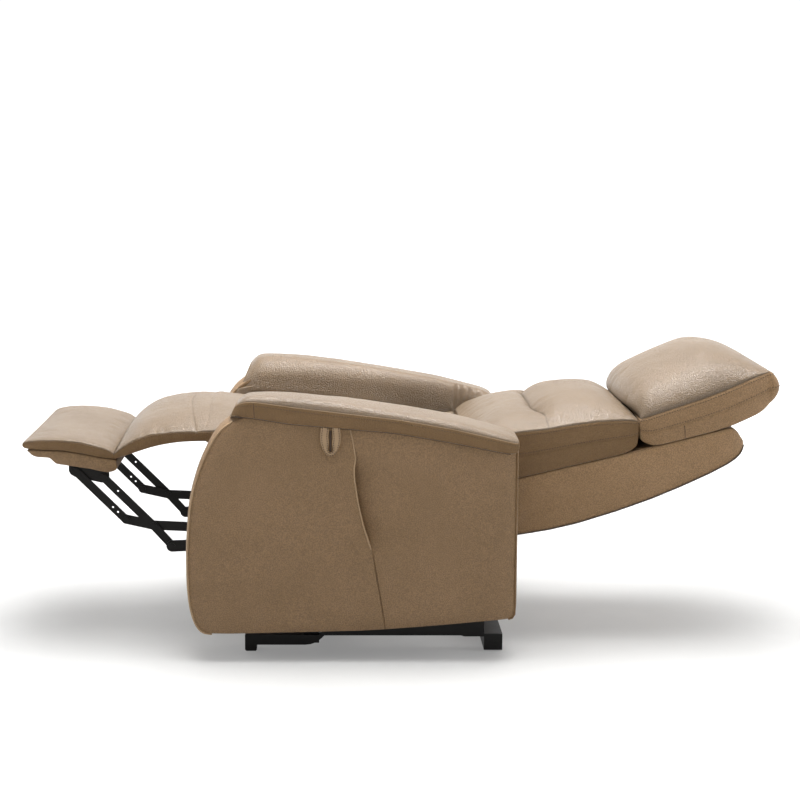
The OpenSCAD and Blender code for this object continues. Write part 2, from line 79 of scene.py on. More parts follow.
def new_group(name, inputs, outputs):
    tree = bpy.data.node_groups.new(name, "ShaderNodeTree")
    for label, kind in inputs:
        tree.interface.new_socket(label, in_out="INPUT", socket_type=kind)
    for label, kind in outputs:
        tree.interface.new_socket(label, in_out="OUTPUT", socket_type=kind)
    return tree, tree.nodes.new("NodeGroupInput"), tree.nodes.new("NodeGroupOutput")


def wire(tree, node, values):
    """Fill a node's inputs: a value is set on its socket, the output of another node is linked to it."""
    for key, value in values.items():
        if isinstance(value, bpy.types.NodeSocket):
            tree.links.new(value, node.inputs[key])
        else:
            node.inputs[key].default_value = value


def add(tree, kind, values=None, **settings):
    made = tree.nodes.new(kind)
    for key, value in settings.items():
        setattr(made, key, value)
    wire(tree, made, values or {})
    return made


def maths(tree, operation, a, b):
    return add(tree, "ShaderNodeMath", {0: a, 1: b}, operation=operation).outputs[0]


def object_place(tree):
    """The place on the object itself, in metres."""
    return add(tree, "ShaderNodeTexCoord").outputs["Object"]


def noisy(tree, where, scale, detail, roughness=0.5, output="Fac"):
    values = {"Vector": where, "Scale": scale, "Detail": detail, "Roughness": roughness}
    return add(tree, "ShaderNodeTexNoise", values).outputs[output]


def ranged(tree, value, low, high, to_low=0.0, to_high=1.0):
    """A value carried from one range to another, and kept inside it."""
    values = {"Value": value, "From Min": low, "From Max": high, "To Min": to_low, "To Max": to_high}
    return add(tree, "ShaderNodeMapRange", values).outputs["Result"]


def bumped(tree, height, strength, distance):
    values = {"Height": height, "Strength": strength, "Distance": distance}
    return add(tree, "ShaderNodeBump", values).outputs["Normal"]


def choose(made):
    bpy.ops.object.select_all(action="DESELECT")
    bpy.context.view_layer.objects.active = made
    made.select_set(True)


def new_piece(name, points, faces):
    """An object from points in millimetres, and faces that name the points by number."""
    mesh = bpy.data.meshes.new(name)
    mesh.from_pydata((np.asarray(points) * MM).tolist(), [], faces)
    made = bpy.data.objects.new(name, mesh)
    bpy.context.scene.collection.objects.link(made)
    return made


print("helpers ready")

# %% [markdown]
# ## Camera and light
# The chair is seen square from its left side, from a little above and far away. A long lens keeps the far
# arm nearly as large as the near one. One broad lamp hangs overhead and one stands beyond each end of the
# chair. The room is brighter on the far side, but the camera itself sees plain white behind the chair.

# %% Camera
# The eye is in metres. The lens, the tilt and the shift are worked out in points of a picture 800 wide.
EYE = (4.3, -0.1516, 1.2223)
SENSOR = 36
PICTURE = 800
FOCAL = 1725
DOWN = 265
ASIDE = 65
pitch = math.atan(DOWN / FOCAL)
bpy.ops.object.select_all(action="DESELECT")
bpy.ops.object.camera_add(location=EYE, rotation=(math.pi / 2 - pitch, 0, math.pi / 2))
camera = bpy.context.object
camera.data.sensor_width = SENSOR
camera.data.lens = SENSOR * FOCAL / PICTURE
camera.data.shift_x = ASIDE / PICTURE
bpy.context.scene.camera = camera
print("camera", EYE, "lens", round(camera.data.lens, 2))

# %% Floor and lamps
def lamp(name, place, target, size, power):
    bpy.ops.object.light_add(type="AREA", location=place)
    made = bpy.context.object
    made.name = name
    made.data.size = size
    made.data.energy = power
    made.rotation_euler = (Vector(target) - Vector(place)).to_track_quat("-Z", "Y").to_euler()


bpy.ops.mesh.primitive_plane_add(size=60, location=(0, 0, 0))
floor = bpy.context.object
floor.name = "floor"
lamp("overhead", (-0.05, 0.1, 3.1), (0, 0.05, 0.4), 2.6, 240)
lamp("foot_side", (1.0, -4.0, 1.7), (0.2, -0.3, 0.4), 1.6, 42)
lamp("head_side", (1.0, 4.0, 1.9), (0.2, 0.4, 0.5), 1.6, 42)
bpy.context.scene.view_settings.view_transform = "Standard"

# %% Room
world = bpy.data.worlds.new("pale_room")
bpy.context.scene.world = world
world.use_nodes = True
sky = world.node_tree
backdrop = sky.nodes["Background"]
wire(sky, backdrop, {"Color": WHITE, "Strength": 1.06})
way = add(sky, "ShaderNodeTexCoord").outputs["Generated"]
aside = add(sky, "ShaderNodeSeparateXYZ", {0: way}).outputs["X"]
level = ranged(sky, aside, -1.0, 1.0, 1.25, 0.16)
room = add(sky, "ShaderNodeBackground", {"Color": WHITE, "Strength": level})
seen = add(sky, "ShaderNodeLightPath").outputs["Is Camera Ray"]
chosen = add(sky, "ShaderNodeMixShader", {0: seen, 1: room.outputs[0], 2: backdrop.outputs[0]})
wire(sky, sky.nodes["World Output"], {"Surface": chosen.outputs[0]})
print("room", world.name, "with", len(sky.nodes), "nodes")

# %% [markdown]
# ## Finishes
# Leather is told by its grain, by the way its colour drifts over a hide, and by the darker line that wear
# and shadow leave along a seam. The grain and the drift are node groups, built once and used with other
# values in each leather. The seam line comes from a "crease" attribute that each sewn mesh carries.

# %% Leather grain and drift groups
grain, g_in, g_out = new_group("leather_grain", [("Vector", V3), ("Pebble", F)],
                               [("Height", F), ("Valley", F)])
place, pebble = g_in.outputs["Vector"], g_in.outputs["Pebble"]
warp = noisy(grain, place, 160.0, 2.0, output="Color")
moved = add(grain, "ShaderNodeVectorMath", {0: warp, 1: (0.0016, 0.0016, 0.0016), 2: place},
            operation="MULTIPLY_ADD").outputs[0]
cells = add(grain, "ShaderNodeTexVoronoi", {"Vector": moved, "Scale": pebble}, feature="DISTANCE_TO_EDGE")
domes = add(grain, "ShaderNodeTexVoronoi", {"Vector": moved, "Scale": pebble}, feature="SMOOTH_F1")
pores = noisy(grain, place, maths(grain, "MULTIPLY", pebble, 2.6), 4.0, 0.6)
edge = ranged(grain, cells.outputs["Distance"], 0.0, 0.11)
bumps = maths(grain, "ADD", maths(grain, "MULTIPLY", edge, 0.6), maths(grain, "MULTIPLY", pores, 0.5))
height = maths(grain, "SUBTRACT", bumps, maths(grain, "MULTIPLY", domes.outputs["Distance"], 0.5))
wire(grain, g_out, {"Height": height, "Valley": edge})

drift, d_in, d_out = new_group("hide_drift", [("Vector", V3), ("Size", F)], [("Fac", F)])
place, size = d_in.outputs["Vector"], d_in.outputs["Size"]
broad = noisy(drift, place, size, 3.0, 0.55)
small = noisy(drift, place, maths(drift, "MULTIPLY", size, 14.0), 5.0, 0.7)
both = maths(drift, "ADD", maths(drift, "MULTIPLY", broad, 0.6), maths(drift, "MULTIPLY", small, 0.4))
wire(drift, d_out, {"Fac": ranged(drift, both, 0.34, 0.66)})
print("groups", [g.name for g in bpy.data.node_groups])

# %% Leather
def principled(name):
    made = bpy.data.materials.new(name)
    made.use_nodes = True
    return made, made.node_tree, made.node_tree.nodes["Principled BSDF"]


def mix_colour(tree, share, a, b):
    return add(tree, "ShaderNodeMix", {0: share, 6: a, 7: b}, data_type="RGBA").outputs[2]


def leather(name, light, dark, pebble, relief, rough, drift_size=7.0, speckle=0.1, sheen=0.0, shine=0.5):
    """Leather that drifts between a light and a dark tone; pebble is the number of grains in a metre."""
    light, dark = linear(*light), linear(*dark)
    shadow = dimmed(dark, 0.45)
    made, tree, skin = principled(name)
    where = object_place(tree)
    hide = add(tree, "ShaderNodeGroup", {"Vector": where, "Size": drift_size}, node_tree=drift).outputs["Fac"]
    pebbles = add(tree, "ShaderNodeGroup", {"Vector": where, "Pebble": pebble}, node_tree=grain)
    specks = ranged(tree, noisy(tree, where, 420.0, 2.0, 0.6), 0.4, 0.62, 0.0, speckle)
    crease = add(tree, "ShaderNodeAttribute", attribute_name="crease").outputs["Fac"]
    pit = maths(tree, "MULTIPLY", maths(tree, "SUBTRACT", 1.0, pebbles.outputs["Valley"]), 0.2)
    colour = mix_colour(tree, hide, dark, light)
    colour = mix_colour(tree, specks, colour, shadow)
    colour = mix_colour(tree, pit, colour, shadow)
    # Painted shade, with some wear, along seams and creases: the crease attribute darkens the colour there.
    colour = mix_colour(tree, maths(tree, "MULTIPLY", crease, 0.8), colour, dimmed(dark, 0.2))
    gloss = ranged(tree, hide, 0.0, 1.0, rough + 0.06, rough - 0.06)
    dull = maths(tree, "ADD", gloss, maths(tree, "MULTIPLY", crease, 0.4))
    normal = bumped(tree, pebbles.outputs["Height"], relief, 0.0008)
    wire(tree, skin, {"Base Color": colour, "Roughness": dull, "Normal": normal, "Specular IOR Level": shine,
                      "Sheen Weight": sheen, "Sheen Roughness": 0.45})
    return made


MATT = {"pebble": 320, "relief": 1.2, "rough": 0.62, "drift_size": 5.0, "speckle": 0.65, "sheen": 0.03}
tan = leather("tan_leather", (118, 96, 69), (106, 85, 59), pebble=240, relief=1.6, rough=0.36,
              drift_size=6.0, speckle=0.3, sheen=0.06, shine=0.7)
panel_hide = leather("panel_leather", (146, 114, 78), (131, 102, 67), **MATT)
# The shell leather is the matt side leather again, painted lighter: painted light on the back shell and on
# the head cushion's boxing.
painted_light_hide = leather("side_leather_painted_lighter", (160, 126, 87), (145, 113, 75), **MATT)
# The boxing leather is the tan leather again, warmer and less shiny: painted shade for the sides of the
# cushions and caps.
shaded_boxing_hide = leather("boxing_leather_painted_shade", (126, 98, 65), (113, 87, 56), pebble=240, relief=1.4, rough=0.5,
                      drift_size=6.0, speckle=0.35, shine=0.25)
piping_hide = leather("piping_leather", (160, 133, 100), (143, 117, 86), pebble=640, relief=0.4, rough=0.5)
dark_seam = leather("seam_shadow", (72, 54, 38), (52, 38, 26), pebble=640, relief=0.3, rough=0.7)
print("leathers", tan.name, panel_hide.name, painted_light_hide.name, shaded_boxing_hide.name, piping_hide.name)

# %% [markdown]
# The other finishes are simpler: two tones mixed by a speckle, a gloss that varies with wear and a faint
# bump. Drawn out along one axis, the same speckle is the brushing of steel or the grain of timber.

# %% Steel, plastic, rubber, timber and thread
def plain(name, light, dark, scale, rough, metallic=0.0, relief=0.15, stretch_by=(1, 1, 1), shine=0.5):
    made, tree, skin = principled(name)
    where = object_place(tree)
    drawn_out = add(tree, "ShaderNodeMapping", {"Vector": where, "Scale": stretch_by}).outputs["Vector"]
    speck = noisy(tree, drawn_out, scale, 6.0, 0.65)
    gloss = ranged(tree, noisy(tree, where, 14.0, 3.0), 0.0, 1.0, rough - 0.1, rough + 0.1)
    colour = mix_colour(tree, ranged(tree, speck, 0.3, 0.7), linear(*dark), linear(*light))
    wire(tree, skin, {"Base Color": colour, "Roughness": gloss, "Normal": bumped(tree, speck, relief, 0.0004),
                      "Metallic": metallic, "Specular IOR Level": shine})
    return made


black_steel = plain("black_steel", (24, 22, 20), (15, 14, 13), 900, 0.42, shine=0.16)
bright_steel = plain("bright_steel", (190, 192, 196), (150, 152, 156), 60, 0.3, metallic=1.0, relief=0.1,
                     stretch_by=(1, 40, 40))
black_plastic = plain("black_plastic", (28, 27, 26), (18, 18, 17), 1400, 0.5, relief=0.3, shine=0.2)
rubber = plain("rubber", (40, 40, 40), (28, 28, 28), 600, 0.75)
timber = plain("timber", (205, 170, 124), (168, 128, 84), 9, 0.65, relief=0.2, stretch_by=(1, 9, 9))
thread = plain("thread", (84, 62, 42), (60, 43, 28), 1500, 0.6)
print("plain finishes ready, the last one", thread.name)

# %% Webbing and floor
def woven(name, light, dark):
    made, tree, skin = principled(name)
    where = object_place(tree)
    threads = [add(tree, "ShaderNodeTexWave", {"Vector": where, "Scale": 130.0, "Distortion": 0.4},
                   bands_direction=way).outputs["Fac"] for way in "XY"]
    height = maths(tree, "MULTIPLY", *threads)
    colour = mix_colour(tree, height, linear(*dark), linear(*light))
    wire(tree, skin, {"Base Color": colour, "Normal": bumped(tree, height, 0.6, 0.0006), "Roughness": 0.85})
    return made


webbing = woven("webbing", (84, 80, 76), (40, 38, 36))

# The floor glows more and more away from the chair, so that it fades into the white behind.
floor_paint = plain("floor_paint", (172, 172, 171), (168, 168, 167), 3, 0.7, relief=0.0)
floor_tree = floor_paint.node_tree
reach = add(floor_tree, "ShaderNodeVectorMath", {0: object_place(floor_tree)}, operation="LENGTH")
glow = ranged(floor_tree, reach.outputs["Value"], 0.9, 3.0, 0.22, 0.95)
wire(floor_tree, floor_tree.nodes["Principled BSDF"], {"Emission Color": glow, "Emission Strength": 1.0})
floor.data.materials.append(floor_paint)
print("webbing and floor ready")

# %% Finishes on the bare parts
FINISH = {"black_steel": black_steel, "bright_steel": bright_steel, "black_plastic": black_plastic,
          "rubber": rubber, "timber": timber, "webbing": webbing, "tan_leather": tan,
          "brown_leather": panel_hide}
for part in frame["record"]["subparts"]:
    kept = frame["nodes"][part["node"]]
    kept.data.materials.clear()
    kept.data.materials.append(FINISH[part["material_slot"]])

# %% [markdown]
# ## How a padded piece is sewn
# Upholstery is a top panel and a bottom panel joined all round by a strip called the boxing. Here each
# padded piece is made the same way: a grid for the top, a grid for the bottom, and a strip between their
# edges. Grid lines crowd together beside the seams, so that the seam is a true groove in the mesh and the
# stitches can follow it. Sculpting would give the same forms, but could not be repeated from sizes.

# %% Grid helpers
def graded(length, step, near=(0, 1.4, 3.2, 6.5, 12, 20)):
    """Places along a length, even in the middle and crowded towards both ends."""
    near = [d for d in near if d < length / 2 - 1]
    count = max(2, round((length - 2 * near[-1]) / step))
    middle = np.linspace(near[-1], length - near[-1], count + 1)
    return np.concatenate([near[:-1], middle, length - np.array(near[:-1])[::-1]])


def lengths(points):
    """How far along a line each of its points lies."""
    return np.r_[0, np.cumsum(np.linalg.norm(np.diff(points, axis=0), axis=1))]


def unit(rows):
    return rows / np.maximum(np.linalg.norm(rows, axis=-1, keepdims=True), 1e-9)


def pick(rows, at, where):
    """The rows of a table, read between its lines where needed."""
    return np.stack([np.interp(where, at, column) for column in rows.T], 1)


def eased(rows, spread):
    """Rows of a table, one a millimetre, rounded over by a spread in mm, with both ends kept."""
    reach = int(3 * spread)
    if reach < 1:
        return rows
    weights = np.exp(-0.5 * (np.arange(-reach, reach + 1) / spread) ** 2)
    weights /= weights.sum()
    reach = min(reach, len(rows) - 1)
    head, tail = 2 * rows[0] - rows[reach:0:-1], 2 * rows[-1] - rows[-2:-reach - 2:-1]
    longer = np.concatenate([head, rows, tail])
    span = weights[len(weights) // 2 - reach:len(weights) // 2 + reach + 1]
    span = span / span.sum()
    return np.stack([np.convolve(column, span, "valid") for column in longer.T], 1)


def along(points, spread=0.0):
    """A drawn line resampled each millimetre, with the length of its run."""
    points = np.array(points, float)
    run = lengths(points)
    at = np.linspace(0, run[-1], max(3, int(run[-1]) + 1))
    return eased(pick(points, run, at), spread), at


def rounding(distance, radius):
    """The height of a quarter circle, from 0 at an edge to 1 at the radius."""
    t = np.clip(1 - np.asarray(distance) / radius, 0, 1)
    return np.sqrt(1 - t * t)


print("grid helpers ready")

# %% Sewing a top, a boxing and a bottom into one closed mesh
BOXING_ROWS = (0, .02, .05, .1, .2, .35, .5, .65, .8, .92, 1)


def border(count_v, count_u):
    """The walk round the edge of a grid, as (row, column)."""
    walk = [(0, j) for j in range(count_u)] + [(i, count_u - 1) for i in range(1, count_v)]
    walk += [(count_v - 1, j) for j in range(count_u - 2, -1, -1)]
    return walk + [(i, 0) for i in range(count_v - 2, 0, -1)]


def outward(ring, up):
    """The directions that point out of a closed ring, smoothed round its corners."""
    out = np.cross(np.roll(ring, -1, 0) - np.roll(ring, 1, 0), up)
    out = unit(out * np.sign(np.einsum("ij,ij->i", out, ring - ring.mean(0)).sum()))
    for _ in range(4):
        out = (np.roll(out, 1, 0) + 2 * out + np.roll(out, -1, 0)) / 4
    return unit(out)


def shell_faces(count_v, count_u, base, rings):
    """Faces of a top grid, of a bottom grid that starts at base, and of the rings between them."""
    faces = []
    for i in range(count_v - 1):
        for j in range(count_u - 1):
            a = i * count_u + j
            b = base + a
            faces.append((a, a + 1, a + count_u + 1, a + count_u))
            faces.append((b, b + count_u, b + count_u + 1, b + 1))
    for one, two in zip(rings[:-1], rings[1:]):
        for p in range(len(one)):
            q = (p + 1) % len(one)
            faces.append((int(one[q]), int(one[p]), int(two[p]), int(two[q])))
    return faces


def finish_mesh(made, finish, smooth=0):
    choose(made)
    bpy.ops.object.mode_set(mode="EDIT")
    bpy.ops.mesh.select_all(action="SELECT")
    bpy.ops.mesh.normals_make_consistent(inside=False)
    bpy.ops.object.mode_set(mode="OBJECT")
    if smooth:
        rounder = made.modifiers.new("rounder", "SUBSURF")
        rounder.levels = rounder.render_levels = smooth
        bpy.ops.object.modifier_apply(modifier="rounder")
    bpy.ops.object.shade_smooth()
    made.data.materials.clear()
    made.data.materials.append(finish)
    made.select_set(False)


def sew(name, top, bottom, finish, heights=BOXING_ROWS, bulge=3.0, groove=2.2, seams=((0.0, 1.0),),
        joined=(False, False), fold=None, end_bulge=None, worn_edge=1.0, boxing=None):
    """One closed padded mesh. top and bottom are grids of points in mm; heights are the boxing's rows."""
    count_v, count_u = top.shape[:2]
    rows, cols = np.array(border(count_v, count_u)).T
    upper, lower = top[rows, cols], bottom[rows, cols]
    tall = np.linalg.norm(upper - lower, axis=1)
    up = unit(upper - lower)
    out = outward(upper, up)
    ends = (0, count_v - 1)
    loose = np.ones(len(rows))
    swell = np.full(len(rows), bulge)
    for is_joined, end, amount in zip(joined, ends, end_bulge or (bulge, bulge)):
        swell[rows == end] = amount
        if is_joined:
            loose[rows == end] = 0
    for _ in range(5):
        swell = (np.roll(swell, 1) + 2 * swell + np.roll(swell, -1)) / 4
    strip, worn = [], []
    for f in heights:
        row = upper + (lower - upper) * f + out * (swell * loose * math.sin(math.pi * f) ** 0.7)[:, None]
        near = np.min([np.abs(f - s) * tall for s, _ in seams], axis=0)
        depth = np.exp(-(near / 2.0) ** 2) * loose * (1.0 if f < 0.3 else 0.4)
        strip.append(row - (out * 0.75 + up * (0.65 if f == 0 else 0)) * (groove * depth)[:, None])
        # Beside each seam the boxing is darkened: painted shade, with some wear.
        tone = np.max([tone * np.exp(-(np.abs(f - s) * tall / 2.2) ** 2) for s, tone in seams], axis=0)
        worn.append(tone * loose * worn_edge)
    top, bottom = top.copy(), bottom.copy()
    top[rows, cols] = strip[0]
    bottom[rows, cols] = strip[-1]
    points = np.concatenate([top.reshape(-1, 3)] + strip[1:-1] + [bottom.reshape(-1, 3)])
    size, ring = count_v * count_u, len(rows)
    base = size + (len(heights) - 2) * ring
    rings = [rows * count_u + cols] + [size + k * ring + np.arange(ring) for k in range(len(heights) - 2)]
    rings.append(base + rows * count_u + cols)
    faces = shell_faces(count_v, count_u, base, rings)
    made = new_piece(name, points, faces)
    far = [np.linalg.norm(top - edge, axis=2) for edge in (top[[0]], top[[-1]], top[:, [0]], top[:, [-1]])]
    far[0] += 99 * joined[0]
    far[1] += 99 * joined[1]
    # Along the top's own seam the same darkening: painted shade, with some wear.
    dark = worn_edge * np.exp(-(np.min(far, 0) / 2.0) ** 2)
    # A fold adds painted shade where the leather dives into a crease.
    if fold is not None:
        dark = np.maximum(dark, fold)
    shade = np.concatenate([dark.ravel()] + worn[1:-1] + [np.zeros(size)])
    mark = made.data.attributes.new("crease", "FLOAT", "POINT")
    mark.data.foreach_set("value", (shade * 0.8).astype(np.float32))
    finish_mesh(made, finish, 1)
    if boxing:
        # Smoothing has made four faces of each, so each material number is repeated four times.
        made.data.materials.append(boxing)
        flat = 2 * (count_v - 1) * (count_u - 1)
        numbers = np.r_[np.zeros(flat, int), np.ones(len(faces) - flat, int)]
        made.data.polygons.foreach_set("material_index", np.repeat(numbers, 4))
    return made, np.array(strip), out, up


print("sewing helpers ready")

# %% [markdown]
# ## How a cushion is filled
# A cushion is drawn as cross-sections along its length: a point on its base, a point on its rim, the rise
# of its crown and its half width. Then Blender's cloth fills it: the seams and the base are held, air
# presses from inside, and the movement is carried over to the finer grid. Last come a soft unevenness and
# the small gathers and folds beside the seams, which are seeded noise and so come out the same each time.

# %% Unevenness and small folds
def ripple(p, size, seed):
    return noise.noise(Vector((p[0] / size, p[1] / size, p[2] / size + seed * 7.31)))


def folds(run, gap, depth, reach):
    """Narrow dents of uneven size along a seam, fading out away from it."""
    wave = math.sin(run / 3.9 + 2.2 * ripple((run, 0, 0), 31, 2))
    size = 0.5 + ripple((run, 40, 0), 23, 3)
    return depth * max(0, wave) ** 2 * max(0, size) * math.exp(-gap / reach) * min(1, gap / 6)


def gathers(run, over, gap, seed, layer):
    """Gathers along one seam: they fade out 20 mm from it, and are nothing on the seam itself."""
    return ripple((run / 15, over / 80, layer), 1, seed) * math.exp(-gap / 20) * min(1, gap / 5)


def settle(top, lifts, to_side, to_end, across_mm, wander, pucker, seed):
    """Soft unevenness of the filling, and small gathers where the leather meets a seam."""
    for i in range(top.shape[0]):
        for j in range(top.shape[1]):
            side_gap, end_gap = max(to_side[i, j], 0), max(to_end[i, j], 0)
            fade = min(1.0, side_gap / 60, end_gap / 60)
            run_y, run_x = top[i, j, 1], across_mm[i, j]
            gather = gathers(run_y, run_x, side_gap, seed, 3) + gathers(run_x, run_y, end_gap, seed + 2, 1)
            broad_wave, small_wave = ripple(top[i, j], 130, seed), ripple(top[i, j], 38, seed)
            high = wander * fade * broad_wave + 0.25 * wander * fade * small_wave
            top[i, j, 1:] += lifts[i, j] * (high + pucker * gather)
    return top


print("unevenness helpers ready")

# %% Filling with cloth
CLOTH_CELL = 10
LAST_FRAME = 20
CLOTH = {"quality": 5, "mass": 0.25, "tension_stiffness": 14, "compression_stiffness": 14,
         "bending_stiffness": 0.6, "use_pressure": True, "vertex_group_mass": "held"}


def regrid(grid, v0, u0, v1, u1):
    """The same surface on another grid."""
    half_way = np.stack([pick(row, u0, u1) for row in grid])
    return np.stack([pick(half_way[:, j], v0, v1) for j in range(len(u1))], 1)


def even(places):
    count = max(6, round((places[-1] - places[0]) / CLOTH_CELL))
    return np.linspace(places[0], places[-1], count + 1)


def puffed(top, bottom, where, across, joined, pressure, most, grow):
    """The top panel after Blender's cloth has filled it: seams and base held, air pressing from inside."""
    v1, u1 = even(where), even(across)
    high, low = regrid(top, where, across, v1, u1), regrid(bottom, where, across, v1, u1)
    rows, cols = np.array(border(len(v1), len(u1))).T
    size, ring = len(v1) * len(u1), len(rows)
    middle = (high[rows, cols] + low[rows, cols]) / 2
    points = np.concatenate([high.reshape(-1, 3), middle, low.reshape(-1, 3)])
    edge = rows * len(u1) + cols
    rings = [edge, size + np.arange(ring), size + ring + edge]
    bladder = new_piece("bladder", points, shell_faces(len(v1), len(u1), size + ring, rings))
    finish_mesh(bladder, tan)
    held = bladder.vertex_groups.new(name="held")
    free = [end for end, is_joined in zip((0, len(v1) - 1), joined) if is_joined]
    pinned = [int(i) for i, row in zip(edge, rows) if row not in free]
    held.add(pinned + list(range(size, len(points))), 1.0, "ADD")
    cloth = bladder.modifiers.new("filling", "CLOTH")
    for key, value in CLOTH.items():
        setattr(cloth.settings, key, value)
    cloth.settings.uniform_pressure_force = pressure
    cloth.settings.shrink_min = -grow
    cloth.settings.effector_weights.gravity = 0
    cloth.collision_settings.use_collision = False
    cloth.point_cache.frame_start, cloth.point_cache.frame_end = 1, LAST_FRAME
    for number in range(1, LAST_FRAME + 1):
        bpy.context.scene.frame_set(number)
    choose(bladder)
    bpy.ops.object.modifier_apply(modifier="filling")
    after = np.array([v.co for v in bladder.data.vertices])[:size] / MM
    bpy.data.objects.remove(bladder)
    bpy.context.scene.frame_set(1)
    moved = (after - points[:size]).reshape(high.shape)
    far = np.linalg.norm(moved, axis=2, keepdims=True)
    moved *= np.minimum(1, most / np.maximum(far, 1e-6))
    print("  filled: mean", round(float(far.mean()), 1), "mm, most", round(float(far.max()), 1), "mm")
    return top + regrid(moved, v1, u1, where, across)


print("cloth helper ready")

# %% A cushion from its cross-sections
CROWN = 2.6
FAR = 999
BESIDE_CREASE = np.array([-8, -5, -2.8, -1.2, 0, 1.2, 2.8, 5, 8])


def stations(base, rim, rise, half, spread):
    """The drawn cross-sections, smoothed, one each millimetre along the piece."""
    table = np.c_[np.array(base, float), np.array(rim, float), np.array(rise, float), np.array(half, float)]
    middle = (table[:, :2] + table[:, 2:4]) / 2
    rim_steps = np.linalg.norm(np.diff(table[:, 2:4], axis=0), axis=1)
    middle_steps = np.linalg.norm(np.diff(middle, axis=0), axis=1)
    run = np.r_[0, np.cumsum(rim_steps * 0.5 + 0.5 * middle_steps)]
    at = np.linspace(0, run[-1], int(run[-1]) + 1)
    return eased(pick(table, run, at), spread), at


def cushion(name, base, rim, rise, half, finish, step=10, roll=4.0, spread=12.0, crease=None, shape=None,
            wander=2.0, pucker=1.2, seed=1, edge=22.0, fade=1.0, bow=None, tuck=5.0, puff=None,
            joined=(False, False), **sewing):
    """A padded piece across the chair. puff is the cloth's pressure, its greatest move and its growth."""
    rows, at = stations(base, rim, rise, half, spread)
    length, width = at[-1], max(half)
    where, across = graded(length, step), graded(2 * width, step) - width
    part = across / width
    gap, lean = where * 0 + FAR, np.zeros_like(where)
    if crease:
        line = float(np.interp(crease[0], rows[:, 2], at))
        where = np.sort(np.r_[where[np.abs(where - line) > 11], line + BESIDE_CREASE])
        gap = where - line
        lean = crease[1] * np.cos(np.clip(gap / 95, -1, 1) * math.pi / 2) ** 2
    bend = part ** 2
    if bow:
        bend = np.clip((np.abs(part) - bow[0]) / (bow[1] - bow[0]), 0, 1)
        bend = bend * bend * (3 - 2 * bend)
    table = np.stack([pick(rows, at, where + lean * b) for b in bend], 1)
    lifts = unit(table[..., 2:4] - table[..., :2])
    to_end = np.min([where + FAR * joined[0], length - where + FAR * joined[1]], 0)
    to_end = to_end[:, None] * np.ones_like(part)[None]
    to_side = (1 - np.abs(part))[None] * table[..., 5]
    thin = np.interp(where / length, [0.6, 0.95], [1, fade])[:, None]
    high = table[..., 4] * (1 - np.abs(part) ** CROWN)
    high = high + roll * thin * rounding(to_side, edge) * rounding(to_end, edge)
    x = part[None] * table[..., 5]
    top = np.stack([x, table[..., 2] + lifts[..., 0] * high, table[..., 3] + lifts[..., 1] * high], 2)
    bottom = np.stack([part[None] * (table[..., 5] - tuck), table[..., 0], table[..., 1]], 2)
    if puff:
        top = puffed(top, bottom, where, across, joined, *puff)
    top = settle(top, lifts, to_side, to_end, x, wander, pucker, seed)
    fold = None
    if shape:
        top, fold = shape(top, gap, part)
    return sew(name, top, bottom, finish, joined=joined, fold=fold, **sewing)


print("cushion helper ready")

# %% [markdown]
# ## Stitches and piping
# A stitch is a small bead of thread. It is modelled once, from a sphere drawn out and flattened in edit
# mode, and copied along a row of points. Piping is a leather-covered cord sewn into a seam: a curve with a
# round section, turned into a mesh.

# %% The stitch and the piping
bpy.ops.object.select_all(action="DESELECT")
bpy.ops.mesh.primitive_uv_sphere_add(segments=6, ring_count=4, radius=1.0)
bead = bpy.context.object
bpy.ops.object.mode_set(mode="EDIT")
bpy.ops.mesh.select_all(action="SELECT")
bpy.ops.transform.resize(value=(2.3, 1.05, 0.7))
bpy.ops.object.mode_set(mode="OBJECT")
BEAD_VERTS = np.array([v.co for v in bead.data.vertices])
BEAD_FACES = [tuple(p.vertices) for p in bead.data.polygons]
bpy.data.objects.remove(bead)


def dress(made, body, slot, *nodes, fill=None):
    """Tell the frame which body a piece follows and the nodes it stands for; slot and fill are not used."""
    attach(made, body)
    if nodes:
        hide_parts(*nodes)
    print(made.name, len(made.data.polygons), "faces")


def stitch_row(points, normals, pitch=6.4, closed=False):
    """Places for stitches, as (centre, frame), along a line of points in mm."""
    points, normals = np.array(points, float), np.array(normals, float)
    if closed:
        points, normals = np.vstack([points, points[:1]]), np.vstack([normals, normals[:1]])
    run = lengths(points)
    at = np.arange(pitch / 2, run[-1], pitch)
    tangent = unit(pick(points, run, at + 1.5) - pick(points, run, at - 1.5))
    out = pick(normals, run, at)
    out = unit(out - tangent * np.einsum("ij,ij->i", out, tangent)[:, None])
    return pick(points, run, at) + out * 0.25, np.stack([tangent, np.cross(out, tangent), out], 1)


def stitches(name, rows):
    verts, faces = [], []
    for place, frames in rows:
        for centre, axis in zip(place, frames):
            start = len(verts) * len(BEAD_VERTS)
            verts.append(BEAD_VERTS @ axis + centre)
            faces += [tuple(v + start for v in face) for face in BEAD_FACES]
    made = new_piece(name, np.concatenate(verts), faces)
    finish_mesh(made, thread)
    return made


def piping(name, points, radius, finish, slot="brown_leather", body="chassis", closed=False):
    """A cord along a line of points in mm, with its body; slot is not used."""
    curve = bpy.data.curves.new(name, "CURVE")
    curve.dimensions = "3D"
    curve.bevel_depth = radius * MM
    curve.bevel_resolution = 2
    curve.use_fill_caps = True
    line = curve.splines.new("POLY")
    line.points.add(len(points) - 1)
    for spot, point in zip(line.points, points):
        spot.co = (*(np.array(point) * MM), 1)
    line.use_cyclic_u = closed
    made = bpy.data.objects.new(name, curve)
    bpy.context.scene.collection.objects.link(made)
    choose(made)
    bpy.ops.object.convert(target="MESH")
    finish_mesh(made, finish)
    dress(made, body, slot)


def stitch_round(name, body, strip, out, rows=(3,)):
    """Closed lines of stitches round a cushion, on the given rows of its boxing."""
    made = stitches(name, [stitch_row(strip[row], out, closed=True) for row in rows])
    dress(made, body, "tan_leather")


print("stitch has", len(BEAD_FACES), "faces")
